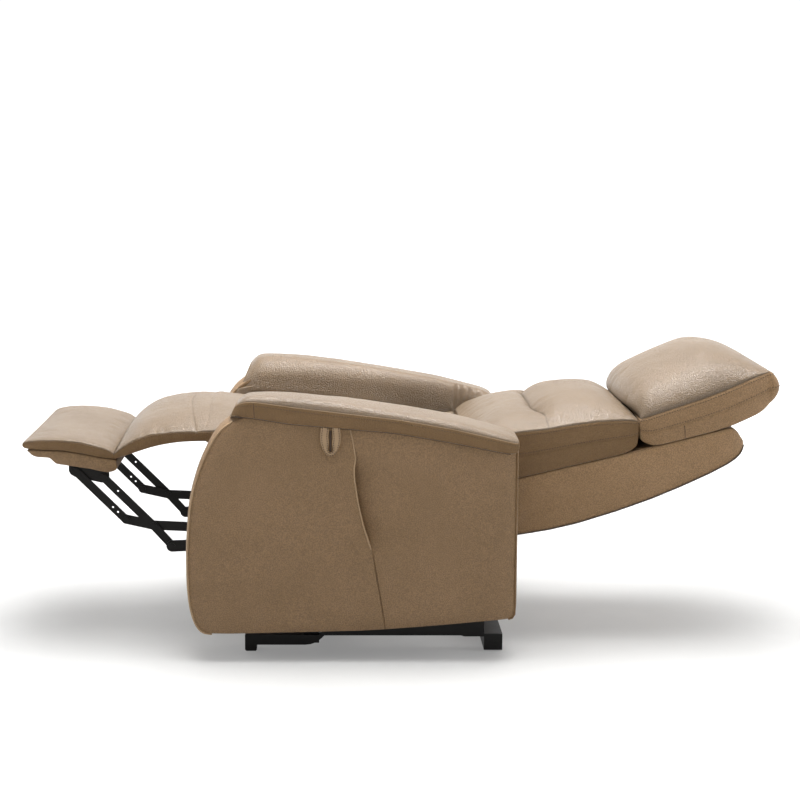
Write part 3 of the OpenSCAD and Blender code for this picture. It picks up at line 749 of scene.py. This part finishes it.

# %% [markdown]
# ## Footrest
# Two pads lie end to end: the foot pad on its board, and the calf pad that bridges the gap to the seat.
# Their shared cross seam pinches the leather down. On the chair the calf pad bends where the footrest folds.

# %% Foot pad
HALF_WIDE = 262.0
PAD_B = [(-890, 482.5), (-880, 481), (-852, 481), (-805, 480), (-760, 473), (-711, 463), (-692, 459.4),
         (-680, 457.2)]
PAD_T = [(-897, 496), (-890, 500), (-852, 503.5), (-806, 503.5), (-757, 498.5), (-706, 485.5), (-689, 479),
         (-679, 470)]
foot_pad, strip, out, up = cushion(
    "foot_cushion", PAD_B, PAD_T, [0, -1, -2, -2, -1, 2, 6, 2],
    HALF_WIDE - np.array([12, 5, 0, 0, 0, 0, 3, 8]), tan, boxing=shaded_boxing_hide, spread=8, bulge=2.0, seed=3,
    puff=(1.2, 4, 0.004), pucker=0.3, wander=1.2, end_bulge=(5, 1), worn_edge=0.7)
dress(foot_pad, "footrest", "tan_leather", "foot_pad", fill=0.75)
stitch_round("foot_stitching", "footrest", strip, out)

# %% Calf pad
CALF_B = [(-679.2, 457.2), (-660, 464), (-639, 471), (-615, 479), (-591, 487), (-566, 493), (-544, 497),
          (-520, 500), (-505, 501), (-490, 501.5), (-473, 502), (-455, 502)]
CALF_T = [(-678.2, 471), (-664, 483), (-643, 497), (-619, 509), (-594, 517), (-567, 521), (-544, 523),
          (-520, 524), (-505, 525), (-490, 525.5), (-473, 526), (-455, 526)]
FOLDS_FROM, FOLDS_TO, FOLDS_FADE = -640, -530, 40


def cross_seam(top, gap, part):
    """The seam across the calf pad, its gathers, and the folds along the sides of the bend."""
    line = np.exp(-(gap / 2.2) ** 2)[:, None] * np.ones_like(part)[None]
    for i in range(top.shape[0]):
        away = abs(gap[i])
        top[i, :, 2] -= 1.3 * math.exp(-(gap[i] / 2.6) ** 2) + 1.4 * math.exp(-away / 14)
        reach = math.exp(-away / 16) * min(1, away / 4)
        for j in range(top.shape[1]):
            top[i, j, 2] += 1.1 * ripple((part[j] * 18, gap[i] / 60, 2), 1, 6) * reach
            y = top[i, j, 1]
            bend = np.clip((y - FOLDS_FROM) / FOLDS_FADE, 0, 1) * np.clip((FOLDS_TO - y) / FOLDS_FADE, 0, 1)
            top[i, j, 2] -= bend * folds(y, (1 - abs(part[j])) * HALF_WIDE, 12.0, 26)
    # The cross seam is darkened: painted shade in its groove.
    return top, 0.22 * line


calf_pad, strip, out, up = cushion(
    "calf_cushion", CALF_B, CALF_T, [3, 16, 25, 30, 34, 37, 40, 42, 43, 42, 40, 38],
    [HALF_WIDE - 8, HALF_WIDE - 3] + [HALF_WIDE] * 10, tan, boxing=shaded_boxing_hide, step=6, spread=8, bulge=2.0,
    seed=5, crease=(-508, 27), shape=cross_seam, groove=1.8, puff=(1.8, 8, 0.006), joined=(False, True),
    worn_edge=0.7)
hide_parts("calf_pad")
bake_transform(calf_pad)
calf_thread = stitches("calf_stitching", [stitch_row(strip[3], out, closed=True)])
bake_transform(calf_thread)
print("calf pad", len(calf_pad.data.polygons), "faces")

# %% Foot board
BOARD_B = [(-884, 476), (-876, 467), (-862, 462), (-832, 461), (-819, 446), (-776, 440), (-736, 434),
           (-705, 427), (-694, 425.5), (-684, 426.5), (-675, 431)]
BOARD_T = [(-885, 480), (-874, 480.4), (-855, 480.4), (-831, 479.8), (-816, 479.4), (-776, 475),
           (-736, 467.3), (-705, 461), (-690, 458.4), (-682, 457), (-675, 455.4)]
BOARD_HALF = [250, 254, 255, 255, 255, 255, 255, 255, 255, 254, 252]
foot_board = cushion(
    "foot_board_cover", BOARD_B, BOARD_T, [0] * 11, BOARD_HALF, panel_hide, roll=0.3, spread=1.6, step=7,
    bulge=2.5, wander=0, pucker=0, groove=0.8, tuck=3, heights=(0, .06, .15, .3, .5, .7, .85, .94, 1))[0]
dress(foot_board, "footrest", "brown_leather", "foot_board", fill=0.9)

# %% [markdown]
# ## Seat
# The seat is a broad foam pad, highest at its front edge. Only its front lip shows from the side, and its
# whole top from above.

# %% Seat cushion
SEAT_B = [(-462, 503), (-450, 501), (-436, 488), (-420, 450), (-402, 402), (-340, 392.4), (-240, 392.4),
          (-140, 392.4), (-60, 392.4), (-14, 392.4), (12, 398), (24, 410)]
SEAT_T = [(-462, 525), (-454, 526), (-446, 526.6), (-436, 527), (-420, 525.6), (-340, 518), (-240, 508),
          (-140, 499), (-60, 490), (-14, 482), (12, 470), (24, 454)]
seat, strip, out, up = cushion(
    "seat_pad", SEAT_B, SEAT_T, [38, 37, 36, 33, 29, 23, 19, 17, 14, 10, 6, 2],
    [HALF_WIDE - 1] + [HALF_WIDE] * 9 + [HALF_WIDE - 3, HALF_WIDE - 10], tan, boxing=shaded_boxing_hide, bulge=2.0,
    seed=8, puff=(2.0, 9, 0.006), joined=(True, False))
dress(seat, "chassis", "tan_leather", "seat_cushion", fill=0.75)
stitch_round("seat_stitching", "chassis", strip, out)

# %% [markdown]
# ## Back and head cushions
# The back cushion is sewn down across its middle, so the leather dives into a channel and swells above it.
# The head cushion is the fullest of all. Both have a second seam low on the boxing.

# %% Back cushion
BACK_B = [(195, 394), (206, 395), (240, 399.4), (288, 411.4), (335, 422.4), (360, 428.3), (384, 433.9),
          (430, 444.7), (479, 456.2), (524, 466.8), (555, 475.5), (570, 488)]
BACK_T = [(168, 496), (188, 507), (232, 518), (285, 524), (331, 529), (353, 531), (376, 536), (422, 543),
          (467, 549), (510, 552), (551, 552), (571, 549)]
TALL_BOXING = (0, .016, .04, .08, .16, .26, .38, .47, .51, .53, .55, .59, .68, .8, .92, 1)
# Each seam gives its place up the boxing and how strongly it is darkened: painted shade, with some wear.
LOW_SEAM = ((0.0, 0.8), (0.53, 0.25))
BOTH_SEAMS = (3, 7)


def channel(top, gap, part):
    """The sewn-down line across the back: a gentle dip on the seat side, a full roll on the head side."""
    part = np.abs(part)
    deep = 19 * np.clip((0.84 - part) / 0.24, 0, 1) ** 1.2 + 2.2 * np.clip((1 - part) * 20, 0, 1)
    for i in range(top.shape[0]):
        g = gap[i]
        top[i, :, 2] -= deep * (1 - rounding(g, 72) if g > 0 else math.exp(g / 18))
        reach = math.exp(-abs(g) / (30 if g > 0 else 13)) * min(1, abs(g) / 4)
        for j in range(top.shape[1]):
            x, y = top[i, j, :2]
            gather = ripple((part[j] * 21, g / 70, 9), 1, 4)
            top[i, j, 2] += 5.0 * gather * reach * min(1, (1 - part[j]) * 6)
            fold = folds(y + 0.6 * x * np.sign(x), (1 - part[j]) * HALF_WIDE, 7.0, 45)
            top[i, j, 2] -= fold * np.clip((y - 450) / 60, 0, 1) * np.clip((566 - y) / 12, 0, 1)
    # The channel line is darkened: painted shade in the crease.
    return top, 0.5 * np.exp(-(gap / 2.2) ** 2)[:, None] * np.ones_like(part)[None]


back_pad, strip, out, up = cushion(
    "back_pad", BACK_B, BACK_T, [4, 8, 14, 21, 30, 35, 39, 43, 42, 36, 22, 5],
    HALF_WIDE - np.array([14, 5, 0, 0, 0, 0, 0, 0, 0, 0, 3, 10]), tan, boxing=shaded_boxing_hide, step=7.5, roll=9,
    edge=30, bulge=2.2, seed=11, puff=(2.4, 12, 0.009), crease=(333, 24), bow=(0.35, 0.8), shape=channel,
    heights=TALL_BOXING, seams=LOW_SEAM, pucker=1.0, tuck=11)
dress(back_pad, "backrest", "tan_leather", "back_cushion", fill=0.8)
stitch_round("back_stitching", "backrest", strip, out, BOTH_SEAMS)

# %% Head cushion
HEAD_B = [(581, 500), (591, 489), (606, 487), (642, 496), (694, 509.5), (745, 522.7), (793, 537.5),
          (842, 560), (869, 573), (885, 591)]
HEAD_T = [(576, 554), (581, 556), (592, 560), (624, 571), (668, 586), (722, 604), (775, 625), (828, 649),
          (862, 663), (880, 668)]


def overhang(top, gap, part):
    """The front of the head cushion leans out over the back cushion. There is no seam, so gap has no use."""
    for i in range(top.shape[0]):
        high = np.clip((top[i, :, 2] - HEAD_T[1][1]) / 20, 0, 1)
        behind = np.maximum(top[i, :, 1] - HEAD_T[0][0], 0)
        top[i, :, 1] -= 30 * high * (1 - np.abs(part) ** 3) * np.exp(-behind / 42)
    return top, None


head_pad, strip, out, up = cushion(
    "head_pad", HEAD_B, HEAD_T, [3, 24, 30, 40, 50, 58, 60, 37, 14, 2],
    HALF_WIDE - np.array([12, 5, 1, 0, 0, 0, 0, 1, 5, 14]), tan, boxing=painted_light_hide, step=9, roll=38, edge=46,
    fade=0.25, bulge=2.5, seed=14, puff=(2.6, 14, 0.004), end_bulge=(5, 24), shape=overhang,
    heights=TALL_BOXING, seams=LOW_SEAM, pucker=0.3, tuck=11)
dress(head_pad, "backrest", "tan_leather", "head_cushion", fill=0.9)
stitch_round("head_stitching", "backrest", strip, out, BOTH_SEAMS)

# %% [markdown]
# ## Back shell
# Behind the cushions is a shallow curved tray covered in the matt side leather, with piping round its
# lower edge. Below the back cushion a skirt, curved round the back's pivot, closes the space to the seat.
# The skirt has slits, because the steel side plates stand there.

# %% Shell cover
SHELL_B = [(195, 266), (208, 266.4), (222, 267), (240, 267.5), (288, 273), (360, 285), (428, 301), (520, 330),
           (578, 351), (610, 363), (680, 393), (746, 424), (788, 447), (808, 461), (820, 473), (825, 488)]
SHELL_T = [(195, 336), (208, 350), (219, 393), (240, 398.6), (288, 411), (360, 427.9), (428, 443.8),
           (520, 465.4), (578, 479), (610, 487.2), (680, 505.2), (740, 520.6), (778, 530), (795, 534),
           (808, 526), (819, 508)]
SHELL_HALF = [250] * 13 + [248, 243, 236]
shell, strip, out, up = cushion(
    "back_shell_cover", SHELL_B, SHELL_T, [0] * 16, SHELL_HALF, painted_light_hide, roll=0.4, spread=5, bulge=3.0,
    wander=0, pucker=0, groove=1.0, tuck=2, seed=17,
    heights=(0, .03, .08, .18, .32, .5, .68, .82, .92, .97, 1))
dress(shell, "backrest", "brown_leather", "back_shell", fill=0.85)
piping("back_shell_piping", strip[-1] + out * 1.0, 1.9, dark_seam, body="backrest", closed=True)

# %% Skirt below the back cushion
PIVOT_Y, PIVOT_Z = 165, 385
SKIRT_FACE, SKIRT_BACK = 109.2, 105.8
HEM_RADIUS, HEM_TURN, HEM_POINTS = 109.4, math.radians(158), 30


def skirt(name, x0, x1):
    """A curved panel round the back's pivot, from below the seat to the foot of the back cushion."""
    swing = np.radians(np.linspace(162.4, 91.2, 33))
    across = graded(x1 - x0, 12, (0, 1.2, 3)) + x0
    grids = []
    for radius in (SKIRT_FACE, SKIRT_BACK):
        ring = np.c_[PIVOT_Y + radius * np.cos(swing), PIVOT_Z + radius * np.sin(swing)]
        grids.append(np.stack([np.c_[across, np.tile(p, (len(across), 1))] for p in ring]))
    return sew(name, *grids, tan, heights=(0, .3, .7, 1), bulge=0.6, groove=0.3, worn_edge=0.4)[0]


hems = []
hem_out = (0, math.cos(HEM_TURN), math.sin(HEM_TURN))
hem_y, hem_z = PIVOT_Y + HEM_RADIUS * hem_out[1], PIVOT_Z + HEM_RADIUS * hem_out[2]
for name, x0, x1 in (("skirt_middle", -192, 192), ("skirt_left", 210, 244), ("skirt_right", -244, -210)):
    dress(skirt(name, x0, x1), "backrest", "brown_leather", "back_skirt", fill=0.5)
    across = np.linspace(x0 + 4, x1 - 4, HEM_POINTS)
    hem = np.c_[across, np.full(HEM_POINTS, hem_y), np.full(HEM_POINTS, hem_z)]
    hems.append(stitch_row(hem, np.tile(hem_out, (HEM_POINTS, 1))))
dress(stitches("skirt_stitching", hems), "backrest", "brown_leather")

# %% [markdown]
# A loose flap of leather hangs between the rear of the seat and the foot of the skirt, so that nothing
# falls through. It is one thin sheet with a deep sag, because the back draws it out when it comes upright.

# %% Flap behind the seat
FLAP = [(5.8, 389), (6.2, 380), (10, 369), (18, 359), (28, 353), (39, 353), (48, 359), (54, 371), (57.5, 386),
        (59.5, 402), (62.5, 414), (66, 421)]
FLAP_THICK = 1.6


def flap(name, x0, x1):
    """A sheet that hangs along the drawn line, with slight waves across it."""
    line = along(FLAP, 5)[0][::3]
    across = np.linspace(x0, x1, max(4, round((x1 - x0) / 8)) + 1)
    slack = np.sin(np.linspace(0, math.pi, len(line)))
    verts = [(x, y, z + 2.5 * s * ripple((x, 0, 0), 40, 4)) for (y, z), s in zip(line, slack) for x in across]
    wide = len(across)
    faces = [(i * wide + j, i * wide + j + 1, (i + 1) * wide + j + 1, (i + 1) * wide + j)
             for i in range(len(line) - 1) for j in range(wide - 1)]
    made = new_piece(name, verts, faces)
    finish_mesh(made, tan)
    wall = made.modifiers.new("wall", "SOLIDIFY")
    wall.thickness = FLAP_THICK * MM
    wall.offset = 0
    choose(made)
    bpy.ops.object.modifier_apply(modifier="wall")
    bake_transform(made)


for name, x0, x1 in (("flap_middle", -195, 195), ("flap_left", 203, 260), ("flap_right", -260, -203)):
    flap(name, x0, x1)

# %% [markdown]
# ## Arms
# Each arm is a hollow box with padded covers: a side panel, an inner panel, a front and a rear band, and a
# thick cap on top. Piping marks the corners. The left side panel is two pieces of leather, and the seam
# between them opens into a pocket.

# %% Arm outlines and the panel builder
SIDES = ((1, "left"), (-1, "right"))
ARM_FRONT = [(-440, 61), (-456, 61.5), (-468, 66), (-477, 75), (-484, 88), (-490, 103), (-495, 122),
             (-499, 147), (-501.5, 180), (-502, 215), (-502, 247), (-501, 282), (-498, 325), (-494, 371),
             (-485, 416), (-472, 459), (-462, 484), (-451, 507), (-440, 528), (-427, 548), (-410, 565),
             (-390, 578)]
FRONT_BAND = [(-440, 66.8), (-455, 64.4), (-467, 66.6)] + ARM_FRONT[3:] + [(-374, 586), (-358, 592)]
REAR_BAND = [(276, 499), (276, 124), (275, 114), (271, 106), (263, 101.5), (253, 100)]
ARM_TOP = [(-390, 578), (-350, 583), (-323, 579), (-255, 568), (-140, 558), (-14, 547), (120, 524),
           (239, 500), (264, 497)]
REAR_LINE = [(253, 104), (260, 105), (265, 109), (267.5, 115), (268, 123), (268, 499)]
ARM_LOW = [(-300, 71.5), (-218, 73.5), (-97, 76.4), (-46, 79), (106, 91), (212, 101)]
SEAM = [(-33, 80), (-52, 190), (-66, 270), (-84, 325), (-97, 380), (-106, 440), (-107, 466), (-103, 484),
        (-109, 520), (-117, 558)]
ARM_IN, ARM_OUT = 268.0, 400.0
COVER_FACE, COVER_BACK = ARM_OUT + 3, 384


def inset(points, depth, spread=10):
    """A line drawn beside another one, a depth to its right."""
    rows = along(points, spread)[0]
    run = unit(np.gradient(rows, axis=0))
    return rows + np.c_[run[:, 1], -run[:, 0]] * depth


def resample(points, fractions):
    rows, at = along(points)
    return pick(rows, at, np.array(fractions) * at[-1])


def patch(left, right, low, high, step=12):
    """A grid of (Y, Z) between four drawn edges, with its distances from each edge."""
    wide = np.linalg.norm(np.array(low[-1]) - np.array(low[0]))
    tall = np.linalg.norm(np.array(left[-1]) - np.array(left[0]))
    u = graded(wide, step) / wide
    v = graded(tall, step) / tall
    a, b = resample(left, v), resample(right, v)
    c, d = resample(low, u), resample(high, u)
    uu, vv = u[None, :, None], v[:, None, None]
    grid = (1 - uu) * a[:, None] + uu * b[:, None] + (1 - vv) * c[None] + vv * d[None]
    grid -= (1 - uu) * (1 - vv) * a[0] + uu * (1 - vv) * b[0] + (1 - uu) * vv * a[-1] + uu * vv * b[-1]
    return grid, [np.linalg.norm(grid - edge, axis=2) for edge in (a[:, None], b[:, None], c[None], d[None])]


def fall(distance, reach, depth):
    """How far a panel sinks near an edge."""
    return depth * np.clip(1 - distance / reach, 0, 1) ** 2


def between(z, low, high, fade):
    """1 between two heights, fading to 0 at both."""
    return np.clip((z - low) / fade, 0, 1) * np.clip((high - z) / fade, 0, 1)


def side_cover(name, node, side, grid, depth, seed, face=COVER_FACE, back=COVER_BACK, wander=1.2,
               finish=panel_hide, slot="brown_leather"):
    """A padded panel that faces sideways: face and back are X in mm, depth how far each point sinks."""
    sign = 1 if face > back else -1
    drift_map = np.array([[wander * ripple((0, y, z), 150, seed) for y, z in row] for row in grid])
    x = face + sign * (drift_map - depth)
    top = np.concatenate([side * x[..., None], grid], 2)
    bottom = np.concatenate([np.full(x.shape, side * back)[..., None], grid], 2)
    rows = (0, .12, .3, .6, 1)
    made = sew(name, top, bottom, finish, heights=rows, bulge=0.8, groove=0.8, worn_edge=0.3)[0]
    dress(made, "chassis", slot, node, fill=0.6)


FRONT_LINE = inset(ARM_FRONT, 7)
top_line = np.array(ARM_TOP, float) + (0, 3)
print("arm outlines", len(FRONT_LINE), "points in front")

# %% Left side panel with its pocket
POCKET_LOW, POCKET_HIGH, POCKET_FADE = 262, 490, 24
SEAM_TOP = SEAM[-1][0]
split = [p for p in top_line if p[0] < SEAM_TOP]
front_grid, far = patch(FRONT_LINE, SEAM, [FRONT_LINE[0], *ARM_LOW[:3], SEAM[0]],
                        [FRONT_LINE[-1], *split[1:], SEAM[-1]])
open_part = between(front_grid[..., 1], POCKET_LOW, POCKET_HIGH, POCKET_FADE)
sink = fall(far[0], 60, 11) + fall(far[2], 24, 7) + fall(far[1], 4, 1.0) * (1 - open_part)
sink -= open_part * 3.0 * np.exp(-far[1] / 25)
side_cover("left_side_front", "arm_outer_left", 1, front_grid, sink, 21)

rear_edge = along(SEAM, 4)[0]
rear_edge[:, 0] -= 5 * between(rear_edge[:, 1], POCKET_LOW, POCKET_HIGH, POCKET_FADE)
rest = [p for p in top_line if p[0] > SEAM_TOP]
rear_grid, far = patch(rear_edge, REAR_LINE, [rear_edge[0], *ARM_LOW[4:], REAR_LINE[0]],
                       [rear_edge[-1], *rest[:-1], REAR_LINE[-1]])
open_part = between(rear_grid[..., 1], POCKET_LOW, POCKET_HIGH + 2, 40)
sink = fall(far[1], 45, 10) + fall(far[2], 24, 7) + fall(far[0], 4, 1.0) * (1 - open_part)
sink += open_part * 17.0 * np.exp(-far[0] / 38)
side_cover("left_side_rear", "arm_outer_left", 1, rear_grid, sink, 22)

# %% [markdown]
# The pocket's edge has a welt, a thin cord that stands proud where the seam opens. Above it hangs a loop: a
# strap bent into a narrow U, with thick edges and two rows of stitches. Its section is carried along the U
# point by point, and narrows round the bend.

# %% Pocket welt and hanging loop
WELT = [(-117, 556), (-109, 520), (-104, 484), (-108, 466), (-107, 440), (-98, 380), (-85, 325), (-67, 270)]
rows = along(WELT, 5)[0]
raised = np.interp(rows[:, 1], [258, 285, 470, 490], [3.4, 6.6, 6.6, 3.4])
piping("pocket_welt", np.c_[ARM_OUT + raised - 0.6, rows][::6], 1.7, piping_hide)

SECTION = [(-9.5, 1), (-9.2, 4), (-8, 5.2), (-6, 5), (-4.5, 4.3), (0, 4.1), (4.5, 4.3), (6, 5), (8, 5.2),
           (9.2, 4), (9.5, 1), (8, 0), (0, 0), (-8, 0)]
LOOP_Y, LOOP_TOP, LOOP_BEND = -162, 560, 516
legs = [(12 + 2.2 * math.sin(math.pi * (LOOP_TOP - z) / 44), z) for z in range(LOOP_TOP, 517, -3)]
path = [(LOOP_Y - y, z) for y, z in legs]
path += [(LOOP_Y - 12.2 * math.cos(a), LOOP_BEND - 18.5 * math.sin(a))
         for a in np.linspace(0.12, math.pi - 0.12, 21)]
path = np.array(path + [(LOOP_Y + y, z) for y, z in legs[::-1]])
ahead = unit(np.gradient(path, axis=0))
beside = np.c_[ahead[:, 1], -ahead[:, 0]]
narrow = 1 - 0.55 * np.clip((524 - path[:, 1]) / 22, 0, 1)
verts = [(COVER_FACE + b, *(place + turn * a * n))
         for place, turn, n in zip(path, beside, narrow) for a, b in SECTION]
ring = len(SECTION)
faces = [(i * ring + k, i * ring + (k + 1) % ring, (i + 1) * ring + (k + 1) % ring, (i + 1) * ring + k)
         for i in range(len(path) - 1) for k in range(ring)]
faces += [tuple(range(ring)), tuple(range((len(path) - 1) * ring, len(path) * ring))]
strap = new_piece("hanging_strap", verts, faces)
finish_mesh(strap, piping_hide, 1)
dress(strap, "chassis", "brown_leather", "hanging_loop")
seams = []
for aside in (-6, 6):
    line = np.c_[np.full(len(path), ARM_OUT + 7.9), path + beside * (aside * narrow[:, None])]
    seams.append(stitch_row(line, np.tile((1.0, 0, 0), (len(path), 1)), 5.5))
dress(stitches("strap_stitching", seams), "chassis", "brown_leather")
# A dark cord in the slot behind the strap is painted shade.
piping("strap_slot", [(COVER_FACE, LOOP_Y, z) for z in range(504, 558, 6)], 2.6, dark_seam)

# %% Right side panel and both inner panels
whole_top = [FRONT_LINE[-1], *top_line[1:-1], REAR_LINE[-1]]
whole_grid, far = patch(FRONT_LINE, REAR_LINE, [FRONT_LINE[0], *ARM_LOW, REAR_LINE[0]], whole_top)
sink = fall(far[0], 60, 11) + fall(far[1], 45, 10) + fall(far[2], 24, 7)
side_cover("right_side", "arm_outer_right", -1, whole_grid, sink, 23)
inner_front = FRONT_LINE[FRONT_LINE[:, 1] < 550]
inner_rear = REAR_LINE[:-1] + [(268, 478)]
inner_top = [inner_front[-1], *(top_line[1:-1] - (0, 22)), inner_rear[-1]]
inner_grid, far = patch(inner_front, inner_rear, [inner_front[0], *ARM_LOW, inner_rear[0]], inner_top)
sink = fall(far[0], 30, 7) + fall(far[1], 30, 6) + fall(far[2], 20, 5)
for side, word in SIDES:
    side_cover(word + "_inner", "arm_inner_" + word, side, inner_grid, sink, 24 + side, face=ARM_IN - 1.0,
               back=284, wander=0.6, finish=tan, slot="tan_leather")

# %% [markdown]
# The bands run round the front and the rear of each arm, and swell a little between their two pipings. The
# cap is a roll: on the outside it has a seam and a boxing, and on the inside it falls in one smooth curve
# to the seat. Towards the rear its inner side is tucked in beside the back cushion, with a few pleats.

# %% Band and cap builders
CAP_B = [(-389, 588), (-380, 585.6), (-350, 583.6), (-323, 579.6), (-255, 568.6), (-140, 558.6), (-14, 547.6),
         (120, 524.6), (239, 500.6), (258, 498), (266, 500)]
CAP_T = [(-379, 610), (-372, 616.5), (-353, 620), (-328, 619), (-240, 606.5), (-135, 594), (-3, 578.5),
         (123, 556), (232, 531), (260, 524), (271, 522)]
CAP_WIDE, CAP_X, CAP_RUN = 71.5, 337.5, 230
CAP_RISE = [2, 7, 12, 14, 24, 24, 19, 19, 18, 15, 8]
CAP_HALF = CAP_WIDE - np.array([12, 4, 0, 0, 0, 0, 0, 0, 0, 2, 8])
CAP_BOXING = (0, .05, .11, .22, .35, .5, .65, .8, .92, 1)
SHOULDER, SHOULDER_WIDE = 2.6, 30
TUCK_FROM, TUCK_TO, PLEAT = 168, 244, 21


def band(name, node, side, line):
    """A strip round the front or rear of an arm, swollen between its two pipings."""
    rows, at = along(line, 8)
    run = unit(np.gradient(rows, axis=0))
    where = graded(at[-1], 12)
    place, face = pick(rows, at, where), pick(np.c_[-run[:, 1], run[:, 0]], at, where)
    across = graded(ARM_OUT - ARM_IN - 14, 10) + ARM_IN + 6
    part = (across - across.mean()) / (across[-1] - across[0]) * 2
    swollen = 8 * (1 - np.abs(part) ** 3.2) - 8
    top = np.zeros((len(where), len(across), 3))
    bottom = np.zeros_like(top)
    for i in range(len(where)):
        top[i] = np.c_[side * across, place[i] + face[i] * swollen[:, None]]
        bottom[i] = np.c_[side * across, np.tile(place[i] - face[i] * 15, (len(across), 1))]
    made = sew(name, top, bottom, panel_hide, heights=(0, .15, .4, .7, 1), bulge=0.8, groove=0.8)[0]
    dress(made, "chassis", "brown_leather", node, fill=0.6)


def cap_section(ty, rise, half, deep, crest):
    """One section of the cap, as (across, up): a steep shoulder, a crest, and a long fall on the inside."""
    s = np.linspace(0, 1, 61)
    roll = rise * np.interp(ty, [-240, 0], [0.95, 0.78])
    steep = (1 - np.clip(1 - s * 2 * half / SHOULDER_WIDE, 0, 1) ** SHOULDER) ** (1 / SHOULDER)
    over = roll * steep + (rise - roll) * (1 - np.clip(1 - s / crest, 0, 1) ** 2)
    over -= 66 * (1 - np.sqrt(1 - np.clip((s - crest) / (1 - crest), 0, 0.999) ** 2))
    down = np.linspace(over[-1] - 3, min(over[-1] - 9, -deep - 42), 40)
    proud = 4 * np.interp(ty, [-20, 60], [1, 0]) * np.sin(np.linspace(0, 2.6, 40))
    line = np.vstack([np.c_[half * (1 - 2 * s), over], np.c_[-half - proud, down]])
    return eased(along(line)[0], 4)


def arm_cap(word, side):
    """A roll over the arm: what sew gives back, and the number of rows along the cap."""
    rows, at = stations(CAP_B, CAP_T, CAP_RISE, CAP_HALF, 10)
    where = graded(at[-1], 6)
    table = pick(rows, at, where)
    lifts = table[:, 2:4] - table[:, :2]
    tall = np.linalg.norm(lifts, axis=1)
    lifts = lifts / tall[:, None]
    crests = np.interp(table[:, 2], [-380, -330, -143, 0, 130], [0.44, 0.51, 0.67, 0.76, 0.84])
    to_outer = graded(CAP_RUN, 9) / CAP_RUN
    grid = []
    for (ty, tz, rise, half), lift, deep, crest in zip(table[:, 2:], lifts, tall, crests):
        line = cap_section(ty, rise, half, deep, crest)
        run = lengths(line)
        line = pick(line, run, to_outer * run[-1])
        grid.append(np.c_[line[:, 0], ty + lift[0] * line[:, 1], tz + lift[1] * line[:, 1]])
    top = np.array(grid)
    seat_side = np.clip((-top[..., 0] - 30) / 25, 0, 1)
    tucked = np.clip((top[..., 1] - TUCK_FROM) / 9, 0, 1) * np.clip((TUCK_TO - top[..., 1]) / 14, 0, 1)
    top[..., 0] += seat_side * tucked * (13 + 3.5 * np.sin(2 * math.pi * top[..., 1] / PLEAT))
    low = np.stack([top[:, 0], top[:, -1]], 1)
    low[:, 0] = np.c_[table[:, 5] - 1, table[:, :2]]
    low[:, 1, 0] += 12
    mix = to_outer[None, :, None]
    bottom = low[:, :1] * (1 - mix) + low[:, 1:] * mix
    count_v, count_u = top.shape[:2]
    to_end = np.minimum(where, at[-1] - where)[:, None] * np.ones(count_u)[None]
    to_side = np.tile(to_outer * CAP_RUN, (count_v, 1))
    lifts = np.repeat(lifts[:, None], count_u, 1)
    top = settle(top, lifts, to_side, to_end, top[..., 0], 1.5, 1.2, 40 + side)
    top[..., 0] = side * (CAP_X + top[..., 0])
    bottom[..., 0] = side * (CAP_X + bottom[..., 0])
    sewn = sew(word + "_arm_cap", top, bottom, tan, bulge=1.5, end_bulge=(1, 4), boxing=shaded_boxing_hide,
               worn_edge=0.5, heights=CAP_BOXING)
    return *sewn, count_v


print("band and cap builders ready")

# %% Bands, piping and caps of both arms
for side, word in SIDES:
    band(word + "_front_band", "arm_front_" + word, side, FRONT_BAND)
    band(word + "_rear_band", "arm_rear_" + word, side, REAR_BAND)
    for place, x, shown in (("outer", ARM_OUT - 7.5, FRONT_LINE), ("inner", ARM_IN + 5.5, inner_front)):
        line = np.c_[np.full(len(shown), side * x), shown][::4]
        piping(f"{word}_{place}_front_piping", line, 2.6, piping_hide)
        line = np.c_[np.full(40, side * x), resample(REAR_LINE, np.linspace(0, 1, 40))]
        piping(f"{word}_{place}_rear_piping", line, 2.6, shaded_boxing_hide)
    cap, strip, out, up, count = arm_cap(word, side)
    dress(cap, "chassis", "tan_leather", "arm_cap_" + word, fill=0.8)
    outer = np.r_[0, np.arange(len(strip[0]) - 1, len(strip[0]) - count + 1, -1)]
    # A dark cord below the cap's outer edge is painted shadow, where the cap overhangs the side panel.
    rows = along(CAP_B[:-1], 10)[0]
    line = np.c_[np.full(len(rows), side * (ARM_OUT + 4.0)), rows - (0, 1.2)][8::8]
    piping(word + "_cap_ledge_shadow", line, 1.3, dark_seam)
    line = (strip[0] + out * 0.9 + up * 0.4)[outer]
    piping(word + "_cap_piping", line, 1.0, piping_hide, "tan_leather")
    cap_thread = stitches(word + "_cap_stitching", [stitch_row(strip[3][outer], out[outer])])
    dress(cap_thread, "chassis", "tan_leather")

# %% [markdown]
# A boxing is seldom cut from one strip. Short dark lines across it show where two strips meet.

# %% Short cross seams on the caps and the head
CAP_SIDE = CAP_X + CAP_WIDE
CAP_JOINT = [(CAP_SIDE - 0.4, -338, 617), (CAP_SIDE + 1.3, -337, 600), (CAP_SIDE - 0.6, -336, 583)]
HEAD_JOINT = [(263.2, 678, 541), (261.2, 680, 526), (259.2, 681, 511)]
for side, word in SIDES:
    for place, body, points in (("cap", "chassis", CAP_JOINT), ("head", "backrest", HEAD_JOINT)):
        line = [(side * x, y, z) for x, y, z in points]
        piping(f"{word}_{place}_joint", line, 0.8, dark_seam, "tan_leather", body)
